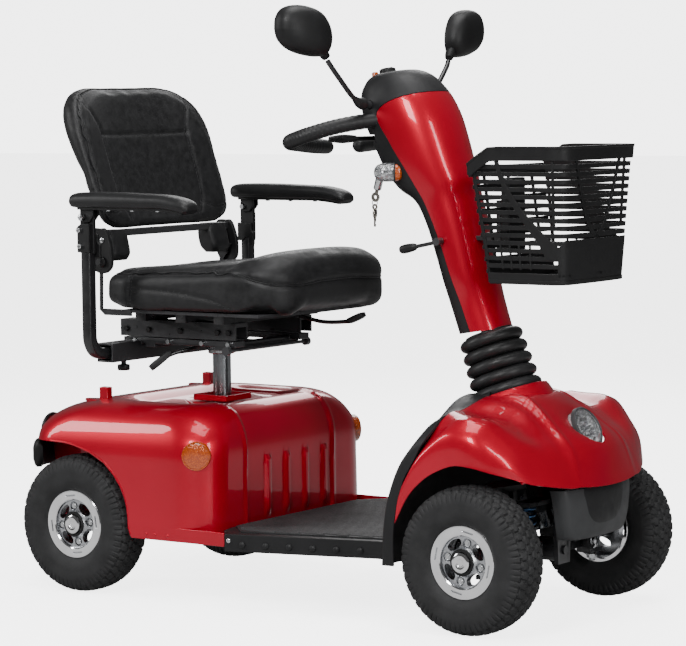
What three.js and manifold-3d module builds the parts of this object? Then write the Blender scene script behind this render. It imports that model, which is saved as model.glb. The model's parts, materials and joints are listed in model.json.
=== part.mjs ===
// Four-wheel mobility scooter. Millimetres, +X forward, +Y to the rider's left, +Z up.
// Every position below is measured from the rear axle line at floor level; the whole
// scooter is moved by REAR_AXLE_X at the end, so that its box is centred on the origin.
import * as THREE from 'three';
import { mergeVertices } from 'three/addons/utils/BufferGeometryUtils.js';
import Module from 'manifold-3d';

const wasm = await Module();
wasm.setup();

// ---- driving dimensions ----
const REAR_AXLE_X = -435.5;
const WHEELBASE = 864;
const AXLE_Z = 130;
const TYRE_R = 130;
const TYRE_HALF_W = 42;
const REAR_TRACK_HALF = 234;
const FRONT_TRACK_HALF = 230;
const WHEEL_SEGMENTS = 20;
const BODY_HALF_W = 268;
const RAIL_Y = 134;
const RAIL_HALF_W = 12;
const RAIL_Z = [106, 134];
const SEAT_X = 153;
const SEAT_POST_R = 17.5;
const SOCKET_R = 23;
const SOCKET_TOP = 343;
const STEER_LEAN = THREE.MathUtils.degToRad(20);
const STEER_POINT = [777, 451];
const STEM_R = 14;
const TILT_Z = 545;
const THROTTLE_Z = 850;
const KINGPIN_Y = 181;
const KINGPIN_R = 7;
const BEAM_PIVOT_Z = 120;
const BEAM_PIVOT_R = 8;
const STUB_R = 8;
const TIE_ROD_BACK = 60;
const TIE_ROD_Y = KINGPIN_Y;
const TIE_ROD_Z = 140;
const SPRING_X = 884;
const SPRING_Y = 78;
const ARM_Y = 248;
const ARM_X = 33;
const ARM_R = 13;
const ARM_RECEIVER_Z = 450;
const FOLD_PIVOT = [24, 621];
const SLIDE_Y = 70;
const LAMP = [596, 79, 790];
const LAMP_STEM_R = 9;
const SHELL = 4;

const Y = new THREE.Vector3(0, 1, 0);
const Z = new THREE.Vector3(0, 0, 1);
const STEER_DIR = new THREE.Vector3(-Math.sin(STEER_LEAN), 0, Math.cos(STEER_LEAN));
const steerAt = (z) => [STEER_POINT[0] - (z - STEER_POINT[1]) * Math.tan(STEER_LEAN), 0, z];

// ---- solids ----
function closed(geometry) {
  const bare = geometry.index ? geometry.toNonIndexed() : geometry.clone();
  bare.deleteAttribute('normal');
  bare.deleteAttribute('uv');
  const g = mergeVertices(bare, 1e-4);
  const p = g.attributes.position.array;
  const t = Array.from(g.index.array);
  let volume = 0;
  for (let i = 0; i < t.length; i += 3) {
    const [a, b, c] = [t[i] * 3, t[i + 1] * 3, t[i + 2] * 3];
    volume += p[a] * (p[b + 1] * p[c + 2] - p[b + 2] * p[c + 1])
      - p[a + 1] * (p[b] * p[c + 2] - p[b + 2] * p[c])
      + p[a + 2] * (p[b] * p[c + 1] - p[b + 1] * p[c]);
  }
  if (volume < 0) for (let i = 0; i < t.length; i += 3) [t[i], t[i + 1]] = [t[i + 1], t[i]];
  return new wasm.Manifold(new wasm.Mesh({
    numProp: 3, vertProperties: new Float32Array(p), triVerts: new Uint32Array(t),
  }));
}

function fromTriangles(points, faces) {
  const g = new THREE.BufferGeometry();
  g.setAttribute('position', new THREE.Float32BufferAttribute(points.flat(), 3));
  g.setIndex(faces.flat());
  return closed(g);
}

function box(x, y, z) {
  const g = new THREE.BoxGeometry(x[1] - x[0], y[1] - y[0], z[1] - z[0]);
  g.translate((x[0] + x[1]) / 2, (y[0] + y[1]) / 2, (z[0] + z[1]) / 2);
  return closed(g);
}

// round bar from a to b; the end radius can differ
function bar(a, b, r, segments = 12, rEnd = r) {
  const [p, q] = [new THREE.Vector3(...a), new THREE.Vector3(...b)];
  const d = q.clone().sub(p);
  const g = new THREE.CylinderGeometry(rEnd, r, d.length(), segments, 1);
  g.rotateY(Math.PI / segments);
  g.applyQuaternion(new THREE.Quaternion().setFromUnitVectors(Y, d.clone().normalize()));
  const m = p.add(q).multiplyScalar(0.5);
  g.translate(m.x, m.y, m.z);
  return closed(g);
}

// a turned solid; profile is [radius, along] pairs that close on the axis or on themselves
function turned(profile, segments, centre, direction) {
  const onAxis = profile[0][0] === 0;
  const pts = onAxis ? profile : [...profile, profile[0]];
  const g = new THREE.LatheGeometry(pts.map((p) => new THREE.Vector2(p[0], p[1])), segments);
  g.rotateY(Math.PI / segments);
  g.applyQuaternion(new THREE.Quaternion().setFromUnitVectors(Y, direction));
  g.translate(...centre);
  return closed(g);
}

// flat outline pushed out along one axis; the outline is in the other two axes, in order
function plate(outline, axis, from, to) {
  const order = { x: [1, 2, 0], y: [0, 2, 1], z: [0, 1, 2] }[axis];
  const ring = outline.map((p) => new THREE.Vector2(p[0], p[1]));
  const caps = THREE.ShapeUtils.triangulateShape(ring, []);
  const n = ring.length;
  const place = (p, w) => {
    const out = [0, 0, 0];
    out[order[0]] = p.x;
    out[order[1]] = p.y;
    out[order[2]] = w;
    return out;
  };
  const faces = [];
  for (let i = 0; i < n; i++) {
    const j = (i + 1) % n;
    faces.push([i, j, n + j], [i, n + j, n + i]);
  }
  const turn = THREE.ShapeUtils.area(ring) > 0 ? 1 : -1;
  for (const [a, b, c] of caps) {
    faces.push(turn > 0 ? [c, b, a] : [a, b, c]);
    faces.push(turn > 0 ? [n + a, n + b, n + c] : [n + c, n + b, n + a]);
  }
  return fromTriangles([...ring.map((p) => place(p, from)), ...ring.map((p) => place(p, to))], faces);
}

// skin over rings of equal count, closed by a fan at each end
function skin(rings) {
  const n = rings[0].length;
  const points = rings.flat();
  const faces = [];
  for (let i = 0; i + 1 < rings.length; i++) {
    for (let j = 0; j < n; j++) {
      const [a, b] = [i * n + j, i * n + ((j + 1) % n)];
      faces.push([a, b, b + n], [a, b + n, a + n]);
    }
  }
  [[0, true], [rings.length - 1, false]].forEach(([k, first]) => {
    const mid = [0, 1, 2].map((c) => rings[k].reduce((s, p) => s + p[c], 0) / n);
    points.push(mid);
    const m = points.length - 1;
    for (let j = 0; j < n; j++) {
      const [a, b] = [k * n + j, k * n + ((j + 1) % n)];
      faces.push(first ? [b, a, m] : [a, b, m]);
    }
  });
  return fromTriangles(points, faces);
}

// round tube bent along points
function bent(points, r, segments = 10) {
  const path = points.map((p) => new THREE.Vector3(...p));
  let side = null;
  const rings = path.map((p, i) => {
    const before = i ? p.clone().sub(path[i - 1]).normalize() : null;
    const after = i + 1 < path.length ? path[i + 1].clone().sub(p).normalize() : null;
    const t = (before && after ? before.add(after) : before || after).normalize();
    if (!side) side = new THREE.Vector3(Math.abs(t.z) > 0.9 ? 1 : 0, 0, Math.abs(t.z) > 0.9 ? 0 : 1);
    side = side.clone().sub(t.clone().multiplyScalar(side.dot(t))).normalize();
    const up = t.clone().cross(side);
    return Array.from({ length: segments }, (_, k) => {
      const a = (2 * Math.PI * (k + 0.5)) / segments;
      return p.clone().addScaledVector(side, r * Math.cos(a)).addScaledVector(up,
        r * Math.sin(a)).toArray();
    });
  });
  return skin(rings);
}

// panel of even thickness behind a grid of points
function panel(grid, thickness) {
  const [rows, cols] = [grid.length, grid[0].length];
  const at = (i, j) => new THREE.Vector3(...grid[Math.min(Math.max(i, 0),
    rows - 1)][Math.min(Math.max(j, 0), cols - 1)]);
  const front = grid.flat();
  const back = [];
  for (let i = 0; i < rows; i++) {
    for (let j = 0; j < cols; j++) {
      const n = at(i + 1, j).sub(at(i - 1, j)).cross(at(i, j + 1).sub(at(i, j - 1))).normalize();
      back.push(at(i, j).addScaledVector(n, thickness).toArray());
    }
  }
  const k = rows * cols;
  const faces = [];
  for (let i = 0; i + 1 < rows; i++) {
    for (let j = 0; j + 1 < cols; j++) {
      const [a, b, c, d] = [i * cols + j, i * cols + j + 1, (i + 1) * cols + j + 1, (i + 1) * cols + j];
      faces.push([a, d, c], [a, c, b], [k + a, k + c, k + d], [k + a, k + b, k + c]);
    }
  }
  const wall = (a, b) => faces.push([a, b, k + b], [a, k + b, k + a]);
  for (let j = 0; j + 1 < cols; j++) {
    wall(j, j + 1);
    wall((rows - 1) * cols + j + 1, (rows - 1) * cols + j);
  }
  for (let i = 0; i + 1 < rows; i++) {
    wall((i + 1) * cols, i * cols);
    wall(i * cols + cols - 1, (i + 1) * cols + cols - 1);
  }
  return fromTriangles([...front, ...back], faces);
}

const join = (list) => list.reduce((a, b) => a.add(b));
const cut = (solid, list) => list.reduce((a, b) => a.subtract(b), solid);
const mirrorY = (p) => [p[0], -p[1], p[2]];
const both = (make) => [make(1), make(-1)];
const span = (s, a, b) => (s > 0 ? [a, b] : [-b, -a]);

// rounded plan outline of a cover at one height
function planRing(z, x0, x1, halfW, frontR, rearR) {
  const ring = [];
  const corner = (cx, cy, r, from) => {
    for (let k = 0; k <= 3; k++) {
      const a = from + (Math.PI / 6) * k;
      ring.push([cx + r * Math.cos(a), cy + r * Math.sin(a), z]);
    }
  };
  corner(x1 - frontR, halfW - frontR, frontR, 0);
  ring.push([(x0 + x1) / 2, halfW, z]);
  corner(x0 + rearR, halfW - rearR, rearR, Math.PI / 2);
  corner(x0 + rearR, rearR - halfW, rearR, Math.PI);
  ring.push([(x0 + x1) / 2, -halfW, z]);
  corner(x1 - frontR, frontR - halfW, frontR, 1.5 * Math.PI);
  return ring;
}

// superellipse ring: a and b are half sizes along two directions
function ovalRing(centre, u, v, a, b, power, count) {
  return Array.from({ length: count }, (_, k) => {
    const t = (2 * Math.PI * (k + 0.5)) / count;
    const [c, s] = [Math.cos(t), Math.sin(t)];
    const ca = a * Math.sign(c) * Math.abs(c) ** (2 / power);
    const sb = b * Math.sign(s) * Math.abs(s) ** (2 / power);
    return centre.map((w, i) => w + u[i] * ca + v[i] * sb);
  });
}

// ---- materials ----
const matt = (color, roughness = 0.6,
  metalness = 0) => new THREE.MeshStandardMaterial({ color, roughness, metalness });
const RED = matt(0x9c0a1c, 0.2, 0.3);
const BLACK = matt(0x17181a, 0.6);
const GREY = matt(0x3c3d3f, 0.6);
const FRAME = matt(0x1c1c1e, 0.45, 0.5);
const CHROME = matt(0xd0d2d6, 0.15, 1);
const STEEL = matt(0x8f9296, 0.35, 1);
const TYRE = matt(0x141414, 0.9);
const VINYL = matt(0x1a1a1b, 0.7);
const AMBER = matt(0xd06a10, 0.3);
const CLEAR = matt(0xd8dcde, 0.1);
const SPRING = matt(0x2d4a6b, 0.4, 0.6);

const scooter = new THREE.Group();
scooter.name = 'mobility_scooter';
function part(name, solid, material) {
  const out = solid.getMesh();
  const g = new THREE.BufferGeometry();
  g.setAttribute('position', new THREE.Float32BufferAttribute(Array.from(out.vertProperties), 3));
  g.setIndex(Array.from(out.triVerts));
  g.computeVertexNormals();
  const mesh = new THREE.Mesh(g, material);
  mesh.name = name;
  mesh.position.x = REAR_AXLE_X;
  scooter.add(mesh);
}

// ---- chassis frame ----
const HEAD_LOW = steerAt(186);
const HEAD_TOP = steerAt(352);
const frame = [];
for (const s of [1, -1]) {
  const y = span(s, RAIL_Y - RAIL_HALF_W, RAIL_Y + RAIL_HALF_W);
  frame.push(box([85, 720], y, RAIL_Z), box([85, 112], y, [RAIL_Z[0], 190]),
    box([-64, 112], y, [162, 190]));
  frame.push(box([-64, -50], y, [162, 250]));
  frame.push(bent([[719, s * 131, 121], [748, s * 104, 200], [805, s * 62, 232], [842, s * 8, 236]], 12,
    6));
}
frame.push(box([96, 210], [-124, 124], [RAIL_Z[0], 128]));
frame.push(box([330, 352], [-124, 124], RAIL_Z));
frame.push(box([672, 694], [-124, 124], RAIL_Z));
frame.push(box([-64, -50], [-124, 124], [206, 232]));
frame.push(bar([SEAT_X, 0, 120], [SEAT_X, 0, SOCKET_TOP], SOCKET_R, 14));
for (const s of [1, -1]) {
  const x = SEAT_X + s * (SOCKET_R - 4);
  frame.push(plate([[x, 120], [x + s * 36, 120], [x, 210]], 'y', -3, 3));
}
frame.push(bar(HEAD_LOW, HEAD_TOP, 23, 12));
frame.push(box([SPRING_X - 16, SPRING_X + 16], [-96, 96], [206, 214]));
frame.push(box([842, 910], [-12, 12], [206, 246]));
frame.push(box([896, 979.5], [-12, 12], [210, 236]));
frame.push(plate([[-20, 96], [20, 96], [26, 214], [-26, 214]], 'x', 904, 912));
frame.push(plate([[-20, 96], [20, 96], [26, 240], [-26, 240]], 'x', 822, 830));
frame.push(bar([822, 0, BEAM_PIVOT_Z], [916, 0, BEAM_PIVOT_Z], BEAM_PIVOT_R, 16));
const stemBore = bar(steerAt(150), steerAt(380), STEM_R + 0.6, 12);
const postBore = bar([SEAT_X, 0, 134], [SEAT_X, 0, 400], SEAT_POST_R + 0.6, 14);
part('main_frame', cut(join(frame), [stemBore, postBore]), FRAME);

// ---- rear drive ----
const gearcase = join([
  skin([planRing(72, -52, 58, 46, 14, 14), planRing(92, -62, 68, 52, 16, 16),
    planRing(168, -62, 68, 52, 16, 16),
    planRing(196, -44, 48, 42, 14, 14)]),
  bar([0, -178, AXLE_Z], [0, 178, AXLE_Z], 26, 14),
  bar([0, -262, AXLE_Z], [0, 262, AXLE_Z], 9.6, 12),
]);
part('transaxle', gearcase, GREY);
part('drive_motor', join([
  bar([14, 54, 214 - 8], [14, 112, 206], 40, 18), bar([14, 112, 206], [14, 119, 206], 30, 18),
  bar([14, 53, 206], [14, 55, 206], 20, 18),
]), FRAME);

for (const [name, s] of [['left', 1], ['right', -1]]) {
  const body = box([200, 300], span(s, 6, 200), [136, 290]);
  part(`battery_${name}`, join([body, box([212, 226], span(s, 30, 46), [289, 298]),
    box([212, 226], span(s, 160, 176), [289, 298])]), BLACK);
}

// ---- rear body ----
const ARCH = [[-240, 40], [-240, 286], [-55, 284], [8, 279], [76, 252], [115, 211], [130, 171],
  [133, 134], [148, 114], [150, 40]];
const rearRings = (t) => [
  planRing(t ? 60 : 116, -92 + t, 312 - t, BODY_HALF_W - t, 70, 60),
  planRing(150, -98 + t, 313 - t, BODY_HALF_W - t, 70, 60),
  planRing(286 - t / 4, -117 + t, 313 - t, 266 - t, 74, 62),
  planRing(318 - t / 2, -110 + t, 305 - t, 254 - t, 80, 72),
  planRing(342 - t, -80 + t, 290 - t, 235 - t, 86, 86),
  planRing(356 - t, -34 + t, 272 - t, 212 - t, 80, 90),
  planRing(360 - t, 6 + t, 248 - t, 176 - t, 66, 76),
  planRing(347 - t, 40 + t, 228 - t, 138 - t, 50, 56),
];
const grow = (outline, d) => outline.map(([x, z]) => [x + (x > 60 ? d : 0), z + (z > 100 ? d : 0)]);
const wells = (d) => both((s) => plate(grow(ARCH, d), 'y', ...span(s, 186 - d, 320)));
let rearOuter = join([skin(rearRings(0)),
  ...both((s) => box([150, 357], span(s, BODY_HALF_W - SHELL, BODY_HALF_W), [116, 142])),
  ...both((s) => plate([[250, 262 * s], [357, 262 * s], [357, 266 * s], [250, 266 * s]], 'z', 116,
    142))]);
for (const y of [-69, -9, 51, 111]) {
  rearOuter = rearOuter.add(bent([[309.5, y, 150], [308.5, y, 258]], 8, 6));
}
rearOuter = cut(rearOuter, wells(0));
const rearInner = cut(skin(rearRings(SHELL)), wells(SHELL));
const rearCover = cut(rearOuter, [rearInner, box([-240, -10], [-182, 182], [60, 205]),
  box([290, 330], [-150, 150], [60, 134.5]), bar([0, -190, AXLE_Z], [0, 190, AXLE_Z], 14, 12),
  bar([SEAT_X, 0, 300], [SEAT_X, 0, 400], SOCKET_R + 1, 20)]);
part('rear_cover', rearCover, RED);

const collar = cut(join([box([SEAT_X - 39, SEAT_X + 39], [-39, 39], [349, 352.5]),
  cut(box([SEAT_X - 39, SEAT_X + 39], [-39, 39], [350, 357]),
    [box([SEAT_X - 34, SEAT_X + 34], [-34, 34], [340, 360])])]),
[bar([SEAT_X, 0, 340], [SEAT_X, 0, 370], SOCKET_R + 0.6, 20)]);
part('post_collar', collar, RED);

const bumperArc = (x) => {
  const half = [[0, 0], [150, 2], [205, 8], [236, 20], [254, 40]].map(([y, d]) => [x + d, y]);
  return [...half.slice().reverse().map(([a, y]) => [a, -y]), ...half.slice(1)];
};
const rearBar = [...bumperArc(-142), ...bumperArc(-124).reverse()];
part('rear_bumper', join([plate(rearBar, 'z', 229, 282),
  ...both((s) => box([-126, -118], span(s, 118, 150), [216, 262]))]), BLACK);

// ---- floor ----
const floorPlan = [[320, 0], [320, 196], [330, 232], [357.5, 256], [357.5, BODY_HALF_W], [643, 195],
  [698.6, 195]];
const fullPlan = (half) => [...half.slice(1).map(([x, y]) => [x, -y]).reverse(),
  ...half.slice(half[0][1] === 0 ? 1 : 0)];
const inset = (half, d) => half.map(([x, y]) => [x < 400 ? x + d : x - d, Math.max(0, y - d)]);
const tray = cut(plate(fullPlan(floorPlan), 'z', 108, 140),
  [plate(fullPlan(inset(floorPlan, SHELL)), 'z', 100, 135),
  box([300, 720], [-150, 150], [100, 135])]);
part('floor_pan', tray, GREY);
part('foot_mat', plate(fullPlan([[326, 0], [326, 190], [372, 238], [640, 176], [690, 176]]), 'z', 140.4,
  145), BLACK);

// ---- front body ----
const hoodHalf = [
  [[728, 265, 188], [748, 265, 262], [806, 228, 370], [800, 150, 380], [800, 95, 392], [800, 50, 399],
    [800, 0, 401]],
  [[755, 265, 236], [772, 265, 300], [820, 226, 373], [812, 150, 377], [814, 95, 392], [814, 50, 400],
    [814, 0, 403]],
  [[785, 265, 266], [798, 264, 326], [835, 224, 375], [826, 150, 373], [830, 95, 391], [830, 50, 401],
    [830, 0, 404]],
  [[815, 265, 284], [825, 263, 343], [850, 222, 376], [846, 150, 369], [850, 95, 388], [852, 50, 400],
    [853, 0, 403]],
  [[850, 265, 296], [855, 262, 348], [868, 219, 375], [872, 150, 364], [876, 95, 382], [880, 50, 394],
    [882, 0, 397]],
  [[884, 262, 294], [886, 256, 342], [894, 212, 367], [896, 148, 357], [902, 95, 370], [908, 48, 378],
    [911, 0, 381]],
  [[912, 250, 286], [914, 243, 322], [922, 200, 344], [928, 144, 339], [938, 93, 346], [946, 46, 352],
    [949, 0, 354]],
  [[935, 232, 278], [942, 222, 299], [952, 182, 314], [966, 136, 311], [980, 90, 312], [990, 45, 314],
    [993, 0, 316]],
  [[955, 208, 268], [966, 190, 262], [980, 163, 257], [994, 130, 252], [1005, 88, 249], [1011, 45, 246],
    [1013, 0, 245]],
];
const fullRow = (half) => [...half, ...half.slice(0, -1).reverse().map(mirrorY)];
const bellowsHole = bar(steerAt(340), steerAt(470), 69, 20);
const lampSocket = bar([922, 0, 321], [988, 0, 358], 36, 16);
part('front_cover', cut(panel(hoodHalf.map(fullRow), SHELL), [bellowsHole, lampSocket]), RED);

const shieldHalf = [
  [[724, 264.6, 112], [701, 264.6, 112], [701, 250, 112], [701, 195, 112], [701, 120, 112],
    [701, 60, 112], [701, 0, 112]],
  [[726, 264.6, 186], [704, 264.6, 170], [703, 250, 170], [702, 195, 168], [701, 120, 160],
    [700, 60, 160], [700, 0, 160]],
  [[744, 264.6, 258], [714, 264.6, 228], [713, 250, 228], [708, 195, 228], [700, 120, 226],
    [697, 60, 226], [697, 0, 226]],
  [[768, 264.6, 300], [736, 264.6, 284], [735, 250, 285], [728, 195, 288], [706, 120, 290],
    [697, 60, 290], [695, 0, 290]],
  [[786, 262, 332], [762, 262, 322], [762, 248, 326], [752, 192, 334], [724, 120, 345], [706, 60, 350],
    [703, 0, 352]],
  [[799, 246, 356], [784, 246, 352], [782, 236, 358], [775, 188, 368], [756, 120, 382], [736, 60, 390],
    [730, 0, 392]],
  [[805, 229, 372], [804, 228, 373], [802, 215, 375], [799, 150, 380.4], [799, 95, 392], [799, 50, 399],
    [799, 0, 401]],
];
const hoodNear = [[-0.6, 0], [-0.6, -0.6], [0, 0.4]].map(([dx, dz]) => panel(
  hoodHalf.map((half) => fullRow(half).map(([x, y, z]) => [x + dx, y, z + dz])), SHELL));
part('leg_shield', cut(panel(shieldHalf.map(fullRow), SHELL), [bellowsHole, ...hoodNear,
  box([600, 699.4], [-196, 196], [90, 145.6]), box([600, 740], [-148, 148], [90, 136])]), BLACK);

const bumperRow = (z, x, w) => [[x - 34, -w, z], [x - 10, -w * 0.86, z], [x - 2, -w * 0.5, z], [x, 0, z],
  [x - 2, w * 0.5, z], [x - 10, w * 0.86, z], [x - 34, w, z]];
const bumperShell = panel([bumperRow(153, 991, 96), bumperRow(166, 996, 104), bumperRow(205, 998, 114),
  bumperRow(240, 996, 120)], 5);
part('front_bumper', join([bumperShell, box([980, 994], [-14, 14], [207, 233])]), GREY);

part('headlight', join([bar([950, 0, 336], [962, 0, 343], 34.5, 20),
  bar([955, 0, 339], [972, 0, 349], 33, 20, 24)]), CLEAR);

// ---- bellows ----
const bellowsProfile = [[48, 0]];
for (let k = 0; k <= 10; k++) bellowsProfile.push([k % 2 ? 66 - k * 1.2 : 52 - k * 0.9, 12.2 * k]);
bellowsProfile.push([38, 122]);
part('bellows', turned(bellowsProfile, 16, steerAt(388), STEER_DIR), BLACK);

// ---- front axle and steering ----
const WHEEL_X = WHEELBASE;
const beam = [
  box([WHEEL_X - 15, WHEEL_X + 15], [-158, 158], [106, 134]),
  bar([832, 0, BEAM_PIVOT_Z], [902, 0, BEAM_PIVOT_Z], 21, 16),
];
for (const s of [1, -1]) {
  const y = span(s, 154, KINGPIN_Y + 14);
  beam.push(box([WHEEL_X - 15, WHEEL_X + 15], y, [150, 158]),
    box([WHEEL_X - 15, WHEEL_X + 15], y, [90, 98]));
  beam.push(box([WHEEL_X - 15, WHEEL_X + 15], span(s, 150, 160), [90, 158]));
  beam.push(bar([WHEEL_X, s * KINGPIN_Y, 84], [WHEEL_X, s * KINGPIN_Y, 164], KINGPIN_R, 14));
  beam.push(box([SPRING_X - 16, SPRING_X + 16], span(s, SPRING_Y - 18, SPRING_Y + 18), [126, 134]));
}
part('front_axle', cut(join(beam),
  [bar([820, 0, BEAM_PIVOT_Z], [920, 0, BEAM_PIVOT_Z], BEAM_PIVOT_R + 0.35, 16)]), FRAME);

for (const [name, s] of [['left', 1], ['right', -1]]) {
  const p = (y, z) => [WHEEL_X, s * y, z];
  const knuckle = join([bar(p(KINGPIN_Y, 98.5), p(KINGPIN_Y, 149.5), 14, 16),
    bar(p(KINGPIN_Y + 6, AXLE_Z), p(262, AXLE_Z), STUB_R, 16),
    bar(p(KINGPIN_Y + 8, AXLE_Z), p(KINGPIN_Y + 18, AXLE_Z), 13, 16),
    plate([[WHEEL_X - 6, s * (KINGPIN_Y - 6)], [WHEEL_X - 6, s * (KINGPIN_Y + 8)],
      [WHEEL_X - TIE_ROD_BACK - 8, s * (TIE_ROD_Y + 8)],
      [WHEEL_X - TIE_ROD_BACK - 8, s * (TIE_ROD_Y - 8)]], 'z', 118, 126),
    bar([WHEEL_X - TIE_ROD_BACK, s * TIE_ROD_Y, 124], [WHEEL_X - TIE_ROD_BACK, s * TIE_ROD_Y, 150], 4.5,
      12)]);
  part(`spindle_${name}`, cut(knuckle, [bar(p(KINGPIN_Y, 80), p(KINGPIN_Y, 170), KINGPIN_R + 0.35, 14)]),
    STEEL);
  const coils = [[0, 0], [13, 0]];
  for (let k = 0; k < 4; k++) coils.push([16, 7 + k * 15], [11, 14 + k * 15]);
  part(`spring_${name}`, turned([...coils, [13, 71], [0, 71]], 10, [SPRING_X, s * SPRING_Y, 134.5], Z),
    SPRING);
}
part('tie_rod', cut(join([
  bar([WHEEL_X - TIE_ROD_BACK, -TIE_ROD_Y + 9, TIE_ROD_Z],
    [WHEEL_X - TIE_ROD_BACK, TIE_ROD_Y - 9, TIE_ROD_Z], 5, 10),
  ...both((s) => bar([WHEEL_X - TIE_ROD_BACK, s * TIE_ROD_Y, TIE_ROD_Z - 7],
    [WHEEL_X - TIE_ROD_BACK, s * TIE_ROD_Y, TIE_ROD_Z + 7], 10, 12))]),
both((s) => bar([WHEEL_X - TIE_ROD_BACK, s * TIE_ROD_Y, 100],
  [WHEEL_X - TIE_ROD_BACK, s * TIE_ROD_Y, 180], 4.9, 12))), STEEL);

// ---- wheels ----
const facet = 1 / Math.cos(Math.PI / WHEEL_SEGMENTS);
const tyreProfile = [[62.4, -25], [62.4, 25], [67.2, 31], [82, 40], [104, TYRE_HALF_W], [122, 35],
  [TYRE_R, 16], [TYRE_R, -16], [122, -35], [104, -TYRE_HALF_W], [82, -40], [67.2, -31]];
const RIM_SEGMENTS = 16;
const rimProfile = (bore) => [[bore, -20], [20, -20], [20, 14], [56, 14], [56, -32], [65.5, -30.5],
  [61.6, -25.6], [61.6, 25.6], [65.5, 30.5], [50, 30], [45, 22], [20, 24], [bore, 30]];
function wheel(name, x, y, s, bore) {
  const out = new THREE.Vector3(0, s, 0);
  const centre = [x, s * y, AXLE_Z];
  const scaled = (profile) => profile.map(([r, a]) => [r * facet, a]);
  part(`tyre_${name}`, turned(scaled(tyreProfile), WHEEL_SEGMENTS, centre, out), TYRE);
  part(`rim_${name}`, turned(rimProfile(bore), RIM_SEGMENTS, centre, out), CHROME);
}
wheel('rear_left', 0, REAR_TRACK_HALF, 1, 10);
wheel('rear_right', 0, REAR_TRACK_HALF, -1, 10);
wheel('front_left', WHEEL_X, FRONT_TRACK_HALF, 1, 8.5);
wheel('front_right', WHEEL_X, FRONT_TRACK_HALF, -1, 8.5);

// ---- steering stem, inside the head tube ----
const TILT = steerAt(TILT_Z);
part('steering_stem', join([
  bar(steerAt(160), steerAt(TILT_Z - 16), STEM_R, 12),
  bar(steerAt(160), steerAt(172), 20, 12),
  bar(steerAt(356), steerAt(362), 20, 12),
  box([TILT[0] - 16, TILT[0] + 16], [-27, 27], [TILT_Z - 24, TILT_Z - 16]),
  ...both((s) => box([TILT[0] - 14, TILT[0] + 14], span(s, 21, 27), [TILT_Z - 22, TILT_Z + 14])),
  bar([TILT[0], -30, TILT_Z], [TILT[0], 30, TILT_Z], 6, 14),
]), STEEL);

// ---- tiller ----
part('tiller_tube', cut(join([
  bar([TILT[0], -20, TILT_Z], [TILT[0], 20, TILT_Z], 13, 14),
  bar([TILT[0] - 3, 0, TILT_Z + 8], [622, 0, 852], 13, 12),
]), [bar([TILT[0], -40, TILT_Z], [TILT[0], 40, TILT_Z], 6.35, 14)]), STEEL);

// sections of the column: height, centre, half length, half width
const COLUMN = [
  [512, 750, 43, 50], [600, 722, 44, 57], [700, 693, 48, 61], [743, 675, 53, 64], [768, 655, 68, 70],
    [800, 636, 76, 76],
  [880, 602, 82, 82], [915, 586, 78, 80], [948, 572, 64, 70], [968, 566, 44, 52],
];
const SEAM = [[480, 760], [512, 747], [597, 716], [668, 691], [740, 660], [793, 632], [847, 598],
  [898, 574], [931, 640], [945, 760]];
const columnRings = (t) => COLUMN.map(([z, x, a, b]) => ovalRing(
  [x, 0, z < 520 && t ? z - 10 : Math.min(z, 968 - t)], [1, 0, 0.16], [0, 1, 0], a - t, b - t, 2.4, 16));
const columnShell = skin(columnRings(0)).subtract(skin(columnRings(SHELL)));
const seamSide = (d) => plate([...SEAM.map(([z, x]) => [x + d, z - d]), [1000, 945], [1000, 480]], 'y',
  -140, 140);
const lampHoles = both((s) => bar([608, s * 57, 790], [598, s * 84, 790], LAMP_STEM_R + 1, 12));
const keyHole = bar([553, -34, 800], [540, -34, 755], 9, 12);
const grip = [[600, 30, 884], [566, 70, 884], [524, 128, 874], [486, 166, 860], [460, 178, 850],
  [446, 170, 845], [442, 140, 842], [442, 100, 838], [443, 52, 835]];
const loop = (s, r, count = grip.length) => bent(grip.slice(0, count).map(([x, y, z]) => [x, s * y, z]),
  r, 10);
const gripHoles = both((s) => loop(s, 12.6, 3));
const hornHole = bar([541.8, -34, 950], [537.5, -34, 978], 7, 10);
const stalkHoles = both((s) => bar([556, s * 60, 909], [556, s * 104, 914], 8.2, 10));
const throttleSlot = box([490, 562], [-120, 120], [THROTTLE_Z - 6, THROTTLE_Z + 6]);
part('tiller_front_cover', cut(columnShell.intersect(seamSide(0.3)), [...gripHoles, ...lampHoles]), RED);
part('tiller_rear_cover', cut(columnShell.subtract(seamSide(-0.3)),
  [...lampHoles, keyHole, ...gripHoles, ...stalkHoles, throttleSlot, hornHole]), BLACK);

for (const [name, s] of [['left', 1], ['right', -1]]) {
  const lampRing = ([d, a, b]) => ovalRing([LAMP[0] - 0.862 * d, s * (LAMP[1] + 0.507 * d), LAMP[2]],
    [0.507, s * 0.862, 0], [0, 0, 1], a, b, 2.3, 14);
  const pod = skin([[-24, 11, 13], [-8, 14, 17], [8, 14, 17], [18, 11, 14], [24, 5, 7]].map(lampRing));
  part(`indicator_${name}`, join([cut(pod, [skin(columnRings(-0.3))]),
    bar([606, s * 62, LAMP[2]], [600, s * 78, LAMP[2]], LAMP_STEM_R, 12)]), CLEAR);
}

// ---- handlebar: a loop each side, joined inside the tiller ----
part('handlebar', join([loop(1, 12), loop(-1, 12), bar([600, -36, 884], [600, 36, 884], 14, 12)]), BLACK);

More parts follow.
